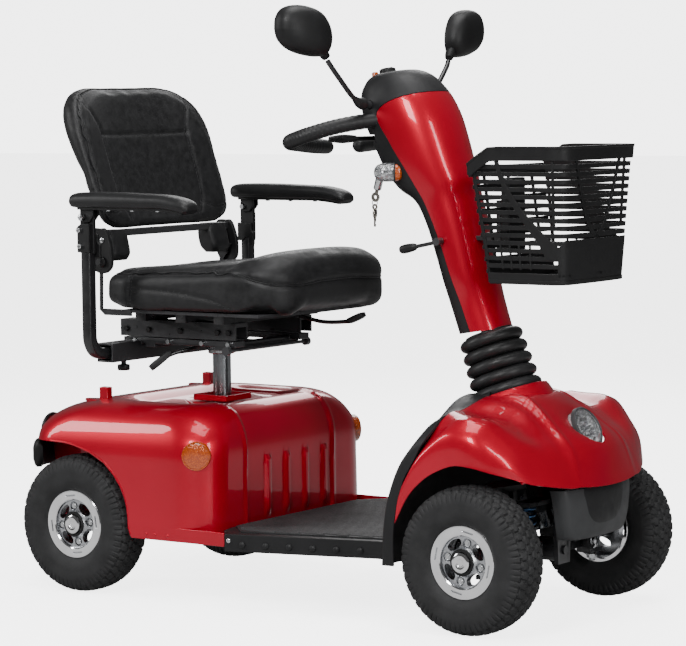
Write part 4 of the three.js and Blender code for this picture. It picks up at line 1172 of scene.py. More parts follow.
def column_solid(t):
    rings = []
    for z, x, a, b in smooth(COLUMN, 5):
        spot = (x, 0, z - (t if z > 900 else 0))
        rings.append(oval(spot, (1, 0, TOP_TILT), (0, 1, 0), a - t, b - t, 2.4, 72))
    return loft(rings)


def seam_plate(gap):
    edge = [(x + gap, z - gap) for z, x in smooth(SEAM, 6)]
    return prism(edge + [(1000, 960), (1000, 470)], "y", -140, 140)


def column_covers():
    shell = combine(column_solid(0), column_solid(SHELL))
    holes = [tube([(x, s * y, z) for x, y, z in HANDLE[:4]], 13.2, 24, 5) for s in (1, -1)]
    front = combine(shell, seam_plate(0.5), "INTERSECT")
    rear = combine(shell, seam_plate(-0.5))
    extra = [rod((553, -34, 800), (540, -34, 755), 9.5, 32), rod((541.8, -34, 950), (537.5, -34, 978), 7.4, 24),
             block((490, 562), (-120, 120), (843, 857))]
    extra += [rod((608, s * 57, 790), (598, s * 84, 790), 10.2, 32) for s in (1, -1)]
    extra += [rod((556, s * 60, 909), (556, s * 104, 914), 8.4, 24) for s in (1, -1)]
    for h in holes:
        front = combine(front, h)
    for h in holes + extra:
        rear = combine(rear, h)
    add("tiller_front_shell", front, RED, "tiller", sharp=30, replaces=["tiller_front_cover"])
    add("tiller_rear_shell", rear, GREY, "tiller", sharp=30, replaces=["tiller_rear_cover"])


def handlebars():
    for side, s in SIDES:
        path = [(x, s * y, z) for x, y, z in HANDLE]
        add(f"handle_loop_{side}", tube(path[:8], 11.0, 28, 8), COAT, "tiller")
        grip_path = [catmull(path, 0.75 + 0.05 * k) for k in range(146)]
        radii = []
        for k in range(len(grip_path)):
            ends = min(k, len(grip_path) - 1 - k)
            radii.append(13.2 + 0.5 * step(0, 6, ends) + 0.35 * math.sin(k * 1.9) * step(6, 14, ends))
        add(f"handle_grip_{side}", tube(grip_path, radii, 28, 1), GRIP, "tiller",
            replaces=["handlebar"] if s > 0 else ())
        end = lathe([(0, 11.5), (5, 11), (9.5, 8.6), (12.4, 4), (13.4, -2), (13.4, -8), (0, -8)],
                    (443, s * 52, 835), (0.03, -s, -0.06), 40)
        add(f"handle_end_{side}", end, GRIP, "tiller")
        collar = lathe([(12.6, -5), (17, -5), (18.5, -2), (18.5, 4), (16.5, 7), (12.6, 7)],
                       (574, s * 63, 884), (-34, s * 40, 0), 40, closed=True)
        add(f"handle_collar_{side}", collar, BLACK, "tiller")


def tiller_lamps():
    for side, s in SIDES:
        centre = Vector((596, s * 79, 790))
        away, out = Vector((-0.862, s * 0.507, 0)), Vector((0.507, s * 0.862, 0))
        rows = [(-25, 9, 11), (-22, 11.5, 14), (-14, 13.4, 16.2), (0, 14.2, 17), (10, 13.8, 16.4),
                (18, 11.6, 13.8), (23, 7.6, 9.2), (25.2, 2.5, 3)]

        column = column_solid(-0.4)

        def pod(stations, grow=0.0):
            rings = [oval(centre + away * d, out, (0, 0, 1), a + grow, b + grow, 2.3, 40)
                     for d, a, b in stations]
            return combine(loft(rings), column)

        stations = smooth(rows, 4)
        lens = pod([r for r in stations if r[0] >= -12])
        add(f"indicator_lens_{side}", lens, CLEAR, "tiller", replaces=[f"indicator_{side}"])
        dish = pod([r for r in smooth(rows[:-1], 4) if r[0] >= -12], -3.2)
        add(f"indicator_dish_{side}", dish, FACETS, "tiller")
        base = pod([r for r in stations if r[0] <= -11.4])
        add(f"indicator_amber_{side}", base, AMBER, "tiller")
        band = pod([(-13.2, 13.4, 16.2), (-13, 14.2, 17.0), (-11.2, 14.4, 17.2), (-11, 13.6, 16.4)])
        add(f"indicator_band_{side}", band, LIGHT_GREY, "tiller")
        stem = rod((606, s * 62, 790), (600, s * 77, 790), 9, 32)
        add(f"indicator_stem_{side}", stem, BLACK, "tiller")


def controls():
    pivot = rod((556, 0, 845.2), (556, 0, 854.8), 12, 32)
    wings = both(lambda s: tube([(552, 0, 850), (528, s * 30, 850), (506, s * 70, 850), (492, s * 112, 850)],
                                [5, 4.6, 4.4, 4.6], 16, 8))
    add("throttle_bar", pivot + wings, BLACK, "throttle", sharp=40,
        replaces=["throttle_lever"])
    for side, s in SIDES:
        paddle = tube([(512, s * 58, 850), (500, s * 84, 850), (491.6, s * 113, 850)], [6.0, 8.2, 5.0], 20, 8,
                      section=lambda t: (math.cos(t) * 0.62, math.sin(t)))
        add(f"throttle_paddle_{side}", paddle, GRIP, "throttle")
    d = Vector((-2, 0, 12.6)).normalized()
    profile = [(0, 12.4), (9, 12.4), (12, 11.6), (12.8, 10), (14.2, 3), (15, 1), (15, 0.2), (0, 0.2)]
    centre = Vector((545, 0, 965.4))
    knob = lathe(profile, centre, d, 60)
    u, v, _ = frame_of(d)
    flutes = []
    for k in range(15):
        t = 2 * math.pi * k / 15
        out = u * math.cos(t) + v * math.sin(t)
        flutes.append(rod(centre + out * 14.9 + d * 1.5, centre + out * 13.6 + d * 10.5, 1.1, 8))
    add("speed_knob", knob + total(flutes), BLACK, "dial", sharp=30, replaces=["speed_dial"])
    mark = prism([(-1, 4), (1, 4), (1, 11), (-1, 11)], "z", 12.3, 12.8)
    turn = d.to_track_quat("Z", "Y").to_matrix()
    add("speed_mark", mark.moved(lambda x, y, z: tuple(centre + turn @ Vector((x, y, z)))), LIGHT_GREY,
        "dial")
    button = lathe([(0, 13.2), (3, 13.0), (5.2, 12.0), (6, 10), (6, 0), (0, 0)], (540.8, -34, 957.5),
                   (-2, 0, 13), 32)
    add("horn_cap", button, AMBER, "horn", replaces=["horn_button"])

    along = Vector((10.5, 0, 37)).normalized()
    low = Vector((541.5, -34, 757))
    barrel = lathe([(0, -1), (5.6, -1), (6.4, 0), (7.4, 1.6), (7.4, 39), (0, 39)], low, along, 40)
    add("key_barrel", barrel, ZINC, "key", replaces=["ignition_key"])
    tilt = Matrix.Rotation(math.radians(15.8), 3, "Y")
    steel_key = lathe([(3.0, -1.1), (8.6, -1.1), (9.2, -0.6), (9.2, 0.6), (8.6, 1.1), (3.0, 1.1)],
                      (0, 0, -13), (0, 1, 0), 32, closed=True)
    steel_key = steel_key + block((-3.4, 3.4), (-1.1, 1.1), (-5, 4))

    def hang(shape, spot, turn):
        return shape.moved(lambda x, y, z: tuple(Vector(spot) + turn @ Vector((x, y, z))))

    key_at = low - along * 1.5
    add("key_in_lock", hang(steel_key, key_at, tilt), KEY_METAL, "key", bevel=0.3)
    loop_at = key_at + tilt @ Vector((0, 0, -20))
    loop_turns = [k * math.pi / 12 for k in range(25)]
    ring = tube([(loop_at.x + 5.5 * math.sin(t), loop_at.y + 0.4, loop_at.z - 3.5 + 5.5 * math.cos(t))
                 for t in loop_turns], 0.8, 8, 1)
    add("key_ring", ring, CHROME, "key")
    hub = tube([(0, 0, -6), (0, 0, -9), (0, 0, -19), (0, 0, -22)], [4.2, 6.4, 6.0, 3.2], 24, 2,
               section=lambda t: (math.cos(t), math.sin(t) * 0.45))
    hub = hub + lathe([(2.4, -1.2), (5.6, -1.2), (5.6, 1.2), (2.4, 1.2)], (0, 0, -2), (0, 1, 0), 28,
                      closed=True)
    blade = block((-2.5, 2.5), (-0.9, 0.9), (-26, -21)) + total(
        [block((-2.2, 2.2 - 0.7 * (k % 3)), (-0.9, 0.9), (-28.5 - 2.5 * k, -25.9 - 2.5 * k))
         for k in range(5)])
    spare_at = (loop_at.x, loop_at.y + 0.4, loop_at.z - 9.0)
    add("spare_key", (hub + blade).moved(lambda x, y, z: (spare_at[0] + x, spare_at[1] + y, spare_at[2] + z)),
        KEY_METAL, "key", bevel=0.3)

    lever = lathe([(0, -61.6), (7, -61.6), (7, -76), (0, -76)], (696, 0, 667), (0, 1, 0), 32)
    stalk = tube([(696, -70, 667), (684, -70, 664), (660, -72, 659), (636, -73.7, 654.4)], 3.6, 16, 4)
    grip = tube([(652, -72.4, 657.4), (646, -73, 656.2), (630, -74.6, 652.8), (621, -75.4, 651),
                 (618, -75.7, 650.4)], [4.4, 7.2, 8.4, 7.0, 3.5], 24, 6)
    add("tilt_lever_rod", lever + stalk, COAT, "tilt_lever", sharp=40, replaces=["tilt_lever"])
    add("tilt_lever_grip", grip, GRIP, "tilt_lever")


def mirrors():
    shape = [(58, 4), (56, 24), (44, 40), (22, 46.5), (-8, 44), (-34, 33), (-50, 12), (-55, -12), (-51, -30),
             (-41, -41), (-24, -44), (6, -40), (34, -30), (52, -14)]
    outline = smooth(shape + shape[:1], 5)[:-1]
    for side, s in SIDES:
        toe = math.radians(3 if s > 0 else -20)
        across = Vector((-math.sin(toe), math.cos(toe), 0)) * s
        look = Vector((-math.cos(toe), -math.sin(toe), 0))
        centre = Vector((545, s * 258, 1041))

        def ring(depth, share, sink=0.0):
            return [tuple(centre - look * depth + across * (p * share) + Vector((0, 0, q * share - sink)))
                    for p, q in outline]

        layers = [(-10.5, 0.93), (-12.5, 0.955), (-12, 0.985), (-8, 1.0), (0, 1.0), (8, 0.965), (15, 0.88),
                  (20.5, 0.74), (24, 0.54), (25.8, 0.3), (26.2, 0.08)]
        head = loft([ring(-9, 0.915)] + [ring(d, k) for d, k in layers])
        add(f"mirror_shell_{side}", head, BLACK, f"mirror_head_{side}", sharp=50,
            replaces=[f"mirror_head_{side}"])
        glass = loft([ring(-9.1, 0.915), ring(-10.2, 0.91), ring(-10.6, 0.6), ring(-10.8, 0.2),
                      ring(-10.8, 0.02)])
        add(f"mirror_glass_{side}", glass, MIRROR, f"mirror_head_{side}")
        neck = tube([(548.5, s * 199, 996), (546.6, s * 208, 1006), (545.5, s * 219, 1016)], [7.6, 9.8, 9.0],
                    24, 6)
        add(f"mirror_neck_{side}", neck, BLACK, f"mirror_head_{side}")
        stalk = tube([(556, s * 98, 913), (556, s * 116, 918), (555, s * 134, 930), (554, s * 150, 944),
                      (551, s * 186, 978), (549, s * 196, 990)], 4.7, 18, 6)
        nut = lathe([(5.2, -8), (8.6, -8), (8.6, 6), (6.8, 8), (5.2, 8)], (556, s * 108, 915), (0, s, 0.2), 6,
                    closed=True)
        foot = rod((556, s * 71, 910.4), (556, s * 104, 914), 6.8, 24)
        add(f"mirror_stem_{side}", stalk + nut + foot, COAT, f"mirror_stalk_{side}", sharp=40,
            replaces=[f"mirror_stalk_{side}"])
        boot = tube([(556, s * 95, 912.6), (556, s * 101, 913.6), (556, s * 112, 916.4),
                     (555.4, s * 122, 922)], [10.5, 11, 8.6, 5.6], 24, 5)
        add(f"mirror_boot_{side}", boot, RUBBER, f"mirror_stalk_{side}")


column_covers()
handlebars()
tiller_lamps()
controls()
mirrors()

# ---------------------------------------------------------------- basket
BASKET_LOW, BASKET_HIGH = 598, 838
SLATS = 14


@functools.lru_cache(maxsize=None)
def basket_line(z, out=0.0):
    """The basket's plan outline at a height, without its back side, as one open line."""
    t = (z - BASKET_LOW) / 240
    x0, x1, h = 826 - 34 * t, 978 + 14 * t, 110 + 18 * t
    pts = [(x0 + 4, -h - out)]
    for k in range(1, 8):
        pts.append((x0 + 4 + (x1 - 26 - x0 - 4) * k / 8, -h - out))
    for k in range(7):
        a = -math.pi / 2 + math.pi / 2 * k / 6
        pts.append((x1 - 26 + (26 + out) * math.cos(a), -(h - 26) + (26 + out) * math.sin(a)))
    for k in range(1, 10):
        pts.append((x1 + out + 3.0 * math.sin(math.pi * k / 10), -(h - 26) + 2 * (h - 26) * k / 10))
    mirror = [(x, -y) for x, y in reversed(pts[:14])]
    return pts + mirror


def rim_height(x):
    """The rim dips towards the column end of the basket."""
    return BASKET_HIGH - 34 * (1 - step(782, 846, x)) - 1.5


def band(z_low, z_high, thick, out=0.0, follow_rim=False):
    rings = []
    low = basket_line(z_low, out)
    high = basket_line(z_high, out)
    for i in range(len(low)):
        a, b = low[max(i - 1, 0)], low[min(i + 1, len(low) - 1)]
        n = Vector((b[1] - a[1], -(b[0] - a[0]))).normalized()
        drop = rim_height(high[i][0]) - BASKET_HIGH + 1.5 if follow_rim else 0
        lo, hi = z_low + drop, z_high + drop
        rings.append([(low[i][0], low[i][1], lo), (low[i][0] - n.x * thick, low[i][1] - n.y * thick, lo),
                      (high[i][0] - n.x * thick, high[i][1] - n.y * thick, hi), (high[i][0], high[i][1], hi)])
    return loft(rings)


def wall_point(f, z):
    """A point on the outer wall; f runs from 0 at the rider's right rear, round the front, to 1."""
    line = basket_line(z, 0.8)
    i = f * (len(line) - 1)
    k = min(int(i), len(line) - 2)
    a, b = Vector(line[k]), Vector(line[k + 1])
    p = a + (b - a) * (i - k)
    n = Vector((b.y - a.y, -(b.x - a.x))).normalized()
    return p, n


def further(f, z, distance):
    """The place on the wall line that lies distance millimetres along it from f."""
    stride = math.copysign(0.002, distance)
    left, p = abs(distance), wall_point(f, z)[0]
    while left > 0 and 0 < f + stride < 1:
        q = wall_point(f + stride, z)[0]
        left -= (q - p).length
        f, p = f + stride, q
    return f


def web(points, widths, thick=3.4):
    """A bar that follows the wall along (f, z) points, with its own width at each."""
    rings = []
    for f, z, w in smooth([(f, z, w) for (f, z), w in zip(points, widths)], 6):
        sides = (-2, -1, 0, 1, 2)
        spots = [wall_point(further(f, z, w * side / 4) if side and w > 8 else f, z) for side in sides]
        if w <= 8:
            spots = [(p + Vector((-n.y, n.x)) * (w * side / 4), n) for (p, n), side in zip(spots, sides)]
        ring = [p for p, n in spots] + [p - n * thick for p, n in reversed(spots)]
        rings.append([(q.x, q.y, z) for q in ring])
    return loft(rings)


def band_part(first, last, z_low, z_high, thick):
    """A solid stretch of wall between two places along the wall line."""
    rings = []
    for k in range(61):
        f = first + (last - first) * k / 60
        rise = 12 * step(0, 0.06, min(f - first, last - f))
        ring = []
        for z, depth in ((z_low, 0), (z_high - 12 + rise, 0), (z_high - 12 + rise, thick), (z_low, thick)):
            p, n = wall_point(f, z)
            ring.append((p.x - n.x * depth, p.y - n.y * depth, z))
        rings.append(ring)
    return loft(rings)


def basket():
    parts = []
    pitch = (808 - 622) / SLATS
    for k in range(SLATS):
        z = 622 + pitch * (k + 0.62)
        parts.append(band(z - 4.0, z + 4.0, 3.0))
    add("basket_slats", total(parts), BLACK, "basket", bevel=0.7, sharp=40)
    rim = band(BASKET_HIGH - 25, BASKET_HIGH - 1, 3.6, 3.6, True)
    lip = band(BASKET_HIGH - 4.5, BASKET_HIGH, 8.5, 4.6, True)
    add("basket_rim", rim + lip, BLACK, "basket", bevel=1.2, sharp=40)
    low = band(600, 618, 4.0, 0.8)
    skirt = band(598.4, 606, 5.5, 2.0)
    add("basket_base_band", low + skirt, BLACK, "basket", bevel=1.2, sharp=40,
        replaces=["basket"])
    webs = []
    for flip in (False, True):
        def f(v):
            return 1 - v if flip else v

        webs.append(web([(f(0.068), 826), (f(0.079), 784), (f(0.106), 744), (f(0.14), 712), (f(0.185), 680),
                         (f(0.235), 654), (f(0.262), 642)], [7, 9, 12, 17, 26, 36, 42], 4.0))
        webs.append(web([(f(0.395), 826), (f(0.411), 788), (f(0.430), 744), (f(0.455), 708), (f(0.480), 688),
                         (f(0.5), 680)], [6, 6, 7, 9, 12, 16], 4.6))
        webs.append(web([(f(0.006), 806), (f(0.006), 730), (f(0.006), 640)], [6, 6, 7]))
        for v in (0.055, 0.085, 0.115, 0.15):
            webs.append(web([(f(v), 668), (f(v), 640), (f(v), 624)], [3.5, 3.5, 3.5]))
        webs.append(web([(f(0.225), 822), (f(0.23), 770), (f(0.24), 700)], [5, 5, 5]))
    webs.append(band_part(0.27, 0.73, 612, 676, 3.2))
    add("basket_webs", total(webs), BLACK, "basket", bevel=0.8, sharp=40)
    back = []
    for k in range(3):
        y = -80 + 80 * k
        back.append(prism([(830, 604), (826, 604), (796, 800), (800, 800)], "y", y - 3, y + 3))
    for k in range(9):
        z = 620 + 21 * k
        x = 828 - 34 * (z - 598) / 240
        back.append(block((x - 1.5, x + 1.5), (-110 - 0.07 * (z - 600), 110 + 0.07 * (z - 600)),
                          (z - 3.5, z + 3.5)))
    back.append(prism([(832, 600), (827, 600), (822, 640), (827, 640)], "y", -110, 110))
    back.append(prism([(801, 788), (793, 788), (792.4, 803), (800, 803)], "y", -124, 124))
    add("basket_back", total(back), BLACK, "basket", bevel=0.7, sharp=40)
    floor = []
    for k in range(9):
        y = -96 + 24 * k
        floor.append(block((830, 974 - (6 if abs(y) > 90 else 0)), (y - 5, y + 5), (600, 604)))
    for x in (836, 870, 905, 940, 968):
        floor.append(block((x - 5, x + 5), (-104, 104), (600.2, 603.8)))
    add("basket_floor", total(floor), BLACK, "basket", bevel=0.7, sharp=40)
    hook = block((802, 820), (-28, 28), (650, 780))
    add("basket_hook_plate", hook, BLACK, "basket", bevel=2.5)
    refined("basket_bracket", COAT, 1.0)


basket()

# ---------------------------------------------------------------- upholstery
SEAT = [(15, 128, 560, 590, 588), (18, 156, 548, 597, 594), (26, 184, 540, 604, 598),
        (60, 199, 536, 609, 600), (150, 203, 535.5, 615, 604), (240, 204, 535.5, 621, 610),
        (300, 204, 535.5, 627, 620), (340, 202, 535.5, 633, 634), (372, 195, 536, 637, 639),
        (400, 180, 538, 635, 639), (418, 160, 542, 626, 630), (428, 136, 548, 611, 613),
        (432, 106, 558, 600, 601)]
BACK = [(682, 152, 25, 29, 8, 14), (690, 175, 23, 33, 0, 14), (704, 191, 14, 36, -10, 12),
        (740, 199, 0, 31, -32, -4), (800, 201, -20, 14, -60, -36), (865, 201, -43, -3, -88, -72),
        (905, 190, -58, -24, -102, -89), (928, 169, -68, -44, -107, -97), (941, 140, -76, -62, -107, -100),
        (947, 106, -84, -74, -106, -101)]
FOLD = (24, 621)
TOP_SEAM = [(22, -112, 602), (34, -170, 610), (100, -192, 613), (180, -198, 618), (260, -199, 620),
            (306, -200, 616), (346, -199, 604), (384, -188, 592), (412, -166, 585), (430, -128, 584),
            (436, -60, 588), (437, 0, 590)]
SIDE_SEAM = [(98, -210, 573), (180, -210, 570), (250, -210, 563), (300, -208, 553), (330, -206, 541)]


def whole(path):
    """A right-side path carried over the middle to the left side."""
    return path + [(x, -y, z) for x, y, z in reversed(path[:-1])]


def seat_form():
    rings = []
    for x, h, z0, z1, zc in smooth(SEAT, 4):
        middle_z, ring = (z0 + z1) / 2, []
        for k in range(64):
            t = 2 * math.pi * k / 64
            y = h * math.copysign(abs(math.cos(t)) ** (0.62 if math.sin(t) > 0 else 0.42), math.cos(t))
            up = math.copysign(abs(math.sin(t)) ** (0.62 if math.sin(t) > 0 else 0.34), math.sin(t))
            crown = (zc - z1) * (1 - (y / h) ** 2) ** 1.5 if up > 0 else 0
            waist = 4 * step(0.5, 1, abs(y) / h) * (1 - abs(up)) * math.copysign(1, y)
            outside = max(step(188, 196, abs(y)), step(398, 408, x) * step(96, 140, abs(y)))
            drop = 12 * step(0, 0.5, -up) * outside * step(40, 90, x)
            ring.append((x, y - waist, middle_z + (z1 - z0) / 2 * up + crown * max(up, 0) - drop))
        rings.append(ring)
    return loft(rings)


def back_form():
    rings = []
    for z, h, f, fw, r, rw in smooth(BACK, 4):
        ring = []
        for k in range(64):
            t = 2 * math.pi * k / 64
            y = h * math.copysign(abs(math.cos(t)) ** 0.55, math.cos(t))
            s = math.copysign(abs(math.sin(t)) ** 0.7, math.sin(t))
            k2 = (abs(y) / h) ** 2.6
            front, rear = f + (fw - f) * k2, r + (rw - r) * k2
            ring.append(((front + rear) / 2 + (front - rear) / 2 * s, y, z))
        rings.append(ring)
    return loft(rings)


CLOTH_FRAMES = 20
CLOTH_PRESSURE = 4
SIDEWAYS_KEPT = 0.2
INWARD_KEPT = 0.1
EVEN_SWELL = 0.35


def inflated(name, shape, voxel, cap, low, high, rest_z=None):
    """The form remeshed and blown up as cloth, each point moving at most cap millimetres.
    Most of the movement along and into the surface is taken out, and an even swell is added.
    It stays between low and high, and above rest_z(x, y) where that is given."""
    obj = bpy.data.objects.new(name, mesh_from(shape))
    scene = bpy.context.scene
    scene.collection.objects.link(obj)
    skin = obj.modifiers.new("skin", "REMESH")
    skin.mode = "VOXEL"
    skin.voxel_size = voxel * MM
    mesh = evaluated(obj)
    obj.modifiers.clear()
    obj.data = mesh
    rest = [v.co.copy() for v in mesh.vertices]
    normals = [v.normal.copy() for v in mesh.vertices]
    cloth = obj.modifiers.new("cloth", "CLOTH")
    cloth.settings.use_pressure = True
    cloth.settings.uniform_pressure_force = CLOTH_PRESSURE
    cloth.settings.effector_weights.gravity = 0
    cloth.settings.quality = 5
    cloth.point_cache.frame_start = 1
    cloth.point_cache.frame_end = CLOTH_FRAMES
    for k in range(1, CLOTH_FRAMES + 1):
        scene.frame_set(k)
    swollen = evaluated(obj)
    for v, start, end, out in zip(mesh.vertices, rest, swollen.vertices, normals):
        move = end.co - start
        rise = move.dot(out)
        swell = max(rise, rise * INWARD_KEPT) + EVEN_SWELL * cap * MM
        move = (move - out * rise) * SIDEWAYS_KEPT + out * swell
        if move.length > cap * MM:
            move *= cap * MM / move.length
        v.co = start + move
    bm = bmesh.new()
    bm.from_mesh(mesh)
    for _ in range(2):
        bmesh.ops.smooth_vert(bm, verts=bm.verts, factor=0.5, use_axis_x=True, use_axis_y=True,
                              use_axis_z=True)
    bm.to_mesh(mesh)
    bm.free()
    obj.modifiers.clear()
    scene.frame_set(1)
    bpy.data.meshes.remove(swollen)
    least, most = at(*low), at(*high)
    for v in mesh.vertices:
        for axis in range(3):
            v.co[axis] = min(max(v.co[axis], least[axis]), most[axis])
        if rest_z:
            v.co.z = max(v.co.z, rest_z((v.co.x - AXLE_X) / MM, v.co.y / MM) * MM)
    finer = obj.modifiers.new("finer", "SUBSURF")
    finer.levels = finer.render_levels = 1
    out = evaluated(obj)
    bpy.data.objects.remove(obj)
    bpy.data.meshes.remove(mesh)
    return out


def surface(mesh):
    return BVHTree.FromPolygons([v.co for v in mesh.vertices], [tuple(p.vertices) for p in mesh.polygons])


def laid(tree, path, steps=10, lift=0.0):
    """The path's points brought onto the surface, in metres, with the surface's outward direction."""
    out = []
    for p in smooth([tuple(q) for q in path], steps):
        spot, normal, _, _ = tree.find_nearest(at(*p))
        out.append((spot + normal * lift * MM, normal))
    return out


def carve(mesh, paths, width, depth):
    """Presses a soft groove into the mesh along each path."""
    tree = surface(mesh)
    spots = [p for path in paths for p, _ in laid(tree, path, 24)]
    near = KDTree(len(spots))
    for i, p in enumerate(spots):
        near.insert(p, i)
    near.balance()
    moves = []
    for v in mesh.vertices:
        _, _, gap = near.find(v.co)
        share = (gap / (width * MM)) ** 2
        moves.append(v.normal * (-depth * MM * math.exp(-share)) if share < 9 else None)
    for v, move in zip(mesh.vertices, moves):
        if move is not None:
            v.co += move


def in_mm(p):
    return ((p.x - AXLE_X) / MM, p.y / MM, p.z / MM)


def welt(mesh, paths, radius=1.3, sink=0.2):
    """A cord of piping sewn along each path."""
    tree = surface(mesh)
    parts = []
    for path in paths:
        line = [in_mm(p) for p, _ in laid(tree, path, 8, radius - sink - 0.6)]
        evened = [tuple((Vector(a) + Vector(b) * 2 + Vector(c)) / 4)
                  for a, b, c in zip(line, line[1:], line[2:])]
        line = [line[0]] + evened + [line[-1]]
        parts.append(tube(line, radius, 8, 1))
    return total(parts)


def stitches(mesh, paths, offset, pitch=5.4, length=3.4, radius=0.36):
    """Single stitches, pitch apart, offset to the side of each path."""
    tree = surface(mesh)
    parts = []
    for path in paths:
        line = laid(tree, path, 16)
        run = 0.0
        for (a, n), (b, _) in zip(line, line[1:]):
            run += (b - a).length / MM
            if run < pitch:
                continue
            run -= pitch
            along = (b - a).normalized()
            spot, normal, _, _ = tree.find_nearest(a + along.cross(n) * offset * MM)
            p, q = (in_mm(spot + along * k * length / 2 * MM + normal * 0.1 * MM) for k in (-1, 1))
            parts.append(rod(p, q, radius, 6))
    return total(parts)


def flipped(paths):
    return paths + [[(x, -y, z) for x, y, z in path] for path in paths]


def seat_cushion():
    def plate(x, y):
        return 532.8 if abs(y) < 187.5 and x < 397 else 521.5

    mesh = inflated("seat_start", seat_form(), 5.0, 6.0, (14.5, -207.5, 521.5), (436, 207.5, 645), plate)
    band = [(88, -140, 612), (88, -186, 612), (88, -206, 596), (88, -210, 571), (88, -207, 548),
            (88, -190, 534)]
    lobe = [[(x, y, 640) for x, y in ((300, -196), (316, -150), (326, -90), (330, 0), (326, 90), (316, 150),
                                      (300, 196))]]
    carve(mesh, lobe, 15.0, 2.6)
    carve(mesh, [whole(TOP_SEAM)], 5.0, 2.4)
    carve(mesh, flipped([SIDE_SEAM]), 4.2, 1.7)
    carve(mesh, flipped([band]), 3.4, 1.4)
    add("seat_cushion_cover", mesh, VINYL, "carriage", sharp=80, replaces=["seat_cushion"])
    add("seat_cushion_piping", welt(mesh, [whole(TOP_SEAM)]), VINYL, "carriage")
    sewn = stitches(mesh, [whole(TOP_SEAM)], -4.2) + stitches(mesh, flipped([band]), 3.0)
    sewn = sewn + stitches(mesh, flipped([band]), -3.0) + stitches(mesh, flipped([SIDE_SEAM]), 3.2)
    add("seat_cushion_stitching", sewn, THREAD, "carriage")


def back_cushion():
    mesh = inflated("back_start", back_form(), 5.0, 5.0, (-114, -203, 680.2), (41, 203, 952))
    upright = [(-62, -163, 938), (-50, -150, 905), (-34, -133, 870), (-22, -131, 830), (-8, -131, 780),
               (8, -126, 735), (24, -108, 700)]
    cross = [[(-40, -133, 855), (-48, -60, 853), (-50, 0, 853), (-48, 60, 853), (-40, 133, 855)]]
    edge = [(40, -166, 694), (38, -183, 706), (33, -193, 740), (16, -196, 800), (-2, -195, 860),
            (-24, -186, 905), (-46, -168, 930), (-66, -138, 945), (-78, -90, 951), (-80, 0, 952)]
    flap = [(12, 118, 724), (22, 150, 712), (30, 186, 716)]
    carve(mesh, flipped([upright]), 4.6, 2.2)
    carve(mesh, cross, 4.6, 2.0)
    carve(mesh, [whole(edge)], 4.0, 1.6)
    carve(mesh, flipped([flap]), 3.4, 1.2)

    add("back_cushion_cover", mesh, VINYL, "back", sharp=80, replaces=["back_cushion"])
    add("back_cushion_piping", welt(mesh, [whole(edge)], 1.5), VINYL, "back")
    sewn = stitches(mesh, flipped([upright]), 3.4) + stitches(mesh, cross, 3.4)
    sewn = sewn + stitches(mesh, [whole(edge)], 4.4)
    sewn = sewn + stitches(mesh, flipped([flap]), 2.6) + stitches(mesh, flipped([flap]), -2.6)
    add("back_cushion_stitching", sewn, THREAD, "back")


def back_support():
    side_rows = [(622, 10, 36, 134, 182.5), (634, 0, 42, 128, 183), (652, -4, 38, 126, 183),
                 (668, -4, 33, 126, 183), (679.5, -2, 28, 130, 182)]

    def cover(s):
        rings = []
        for z, x0, x1, y0, y1 in smooth(side_rows, 4):
            ring = oval(((x0 + x1) / 2, (y0 + y1) / 2, z), (1, 0, 0), (0, 1, 0), (x1 - x0) / 2, (y1 - y0) / 2,
                        4.5, 32)
            rings.append([(x, s * y, z) for x, y, _ in ring])
        return loft(rings)

    add("back_support_covers", both(cover), VINYL, "back", bevel=3.0, sharp=50)
    outline = smooth([(-1, 616), (-5, 650), (-2, 681), (18, 684), (33, 681), (46, 648), (47, 616), (38, 603),
                      (24, 599), (8, 603), (-1, 616)], 6)[:-1]
    plates = both(lambda s: prism(outline, "y", *sorted((s * 190, s * 199))))
    bore = rod((FOLD[0], -300, FOLD[1]), (FOLD[0], 300, FOLD[1]), 6.9, 28)
    add("back_hinge_plates", combine(plates, bore), BLACK, "back", bevel=2.0, sharp=50,
        replaces=["back_frame"])
    bar = block((4, 28), (-190, 190), (667, 679.3))
    add("back_cross_bar", bar, COAT, "back", bevel=1.5)
    caps = both(lambda s: lathe([(0, 207.5), (5, 207), (9, 204.4), (10.5, 200.8), (0, 200.8)],
                                (FOLD[0], 0, FOLD[1]), (0, s, 0), 40))
    screws = both(lambda s: total([lathe([(0, 202.4), (3.4, 202), (5.2, 200.6), (5.2, 199), (0, 199)],
                                         (x, 0, z), (0, s, 0), 20)
                                   for x, z in ((8, 668), (26, 662))]))
    add("fold_pivot_caps", caps, BLACK, "carriage")
    add("back_hinge_screws", screws, ZINC, "back")


def rectangular(power):
    def section(t):
        c, s = math.cos(t), math.sin(t)
        return math.copysign(abs(c) ** (2 / power), c), math.copysign(abs(s) ** (2 / power), s)
    return section


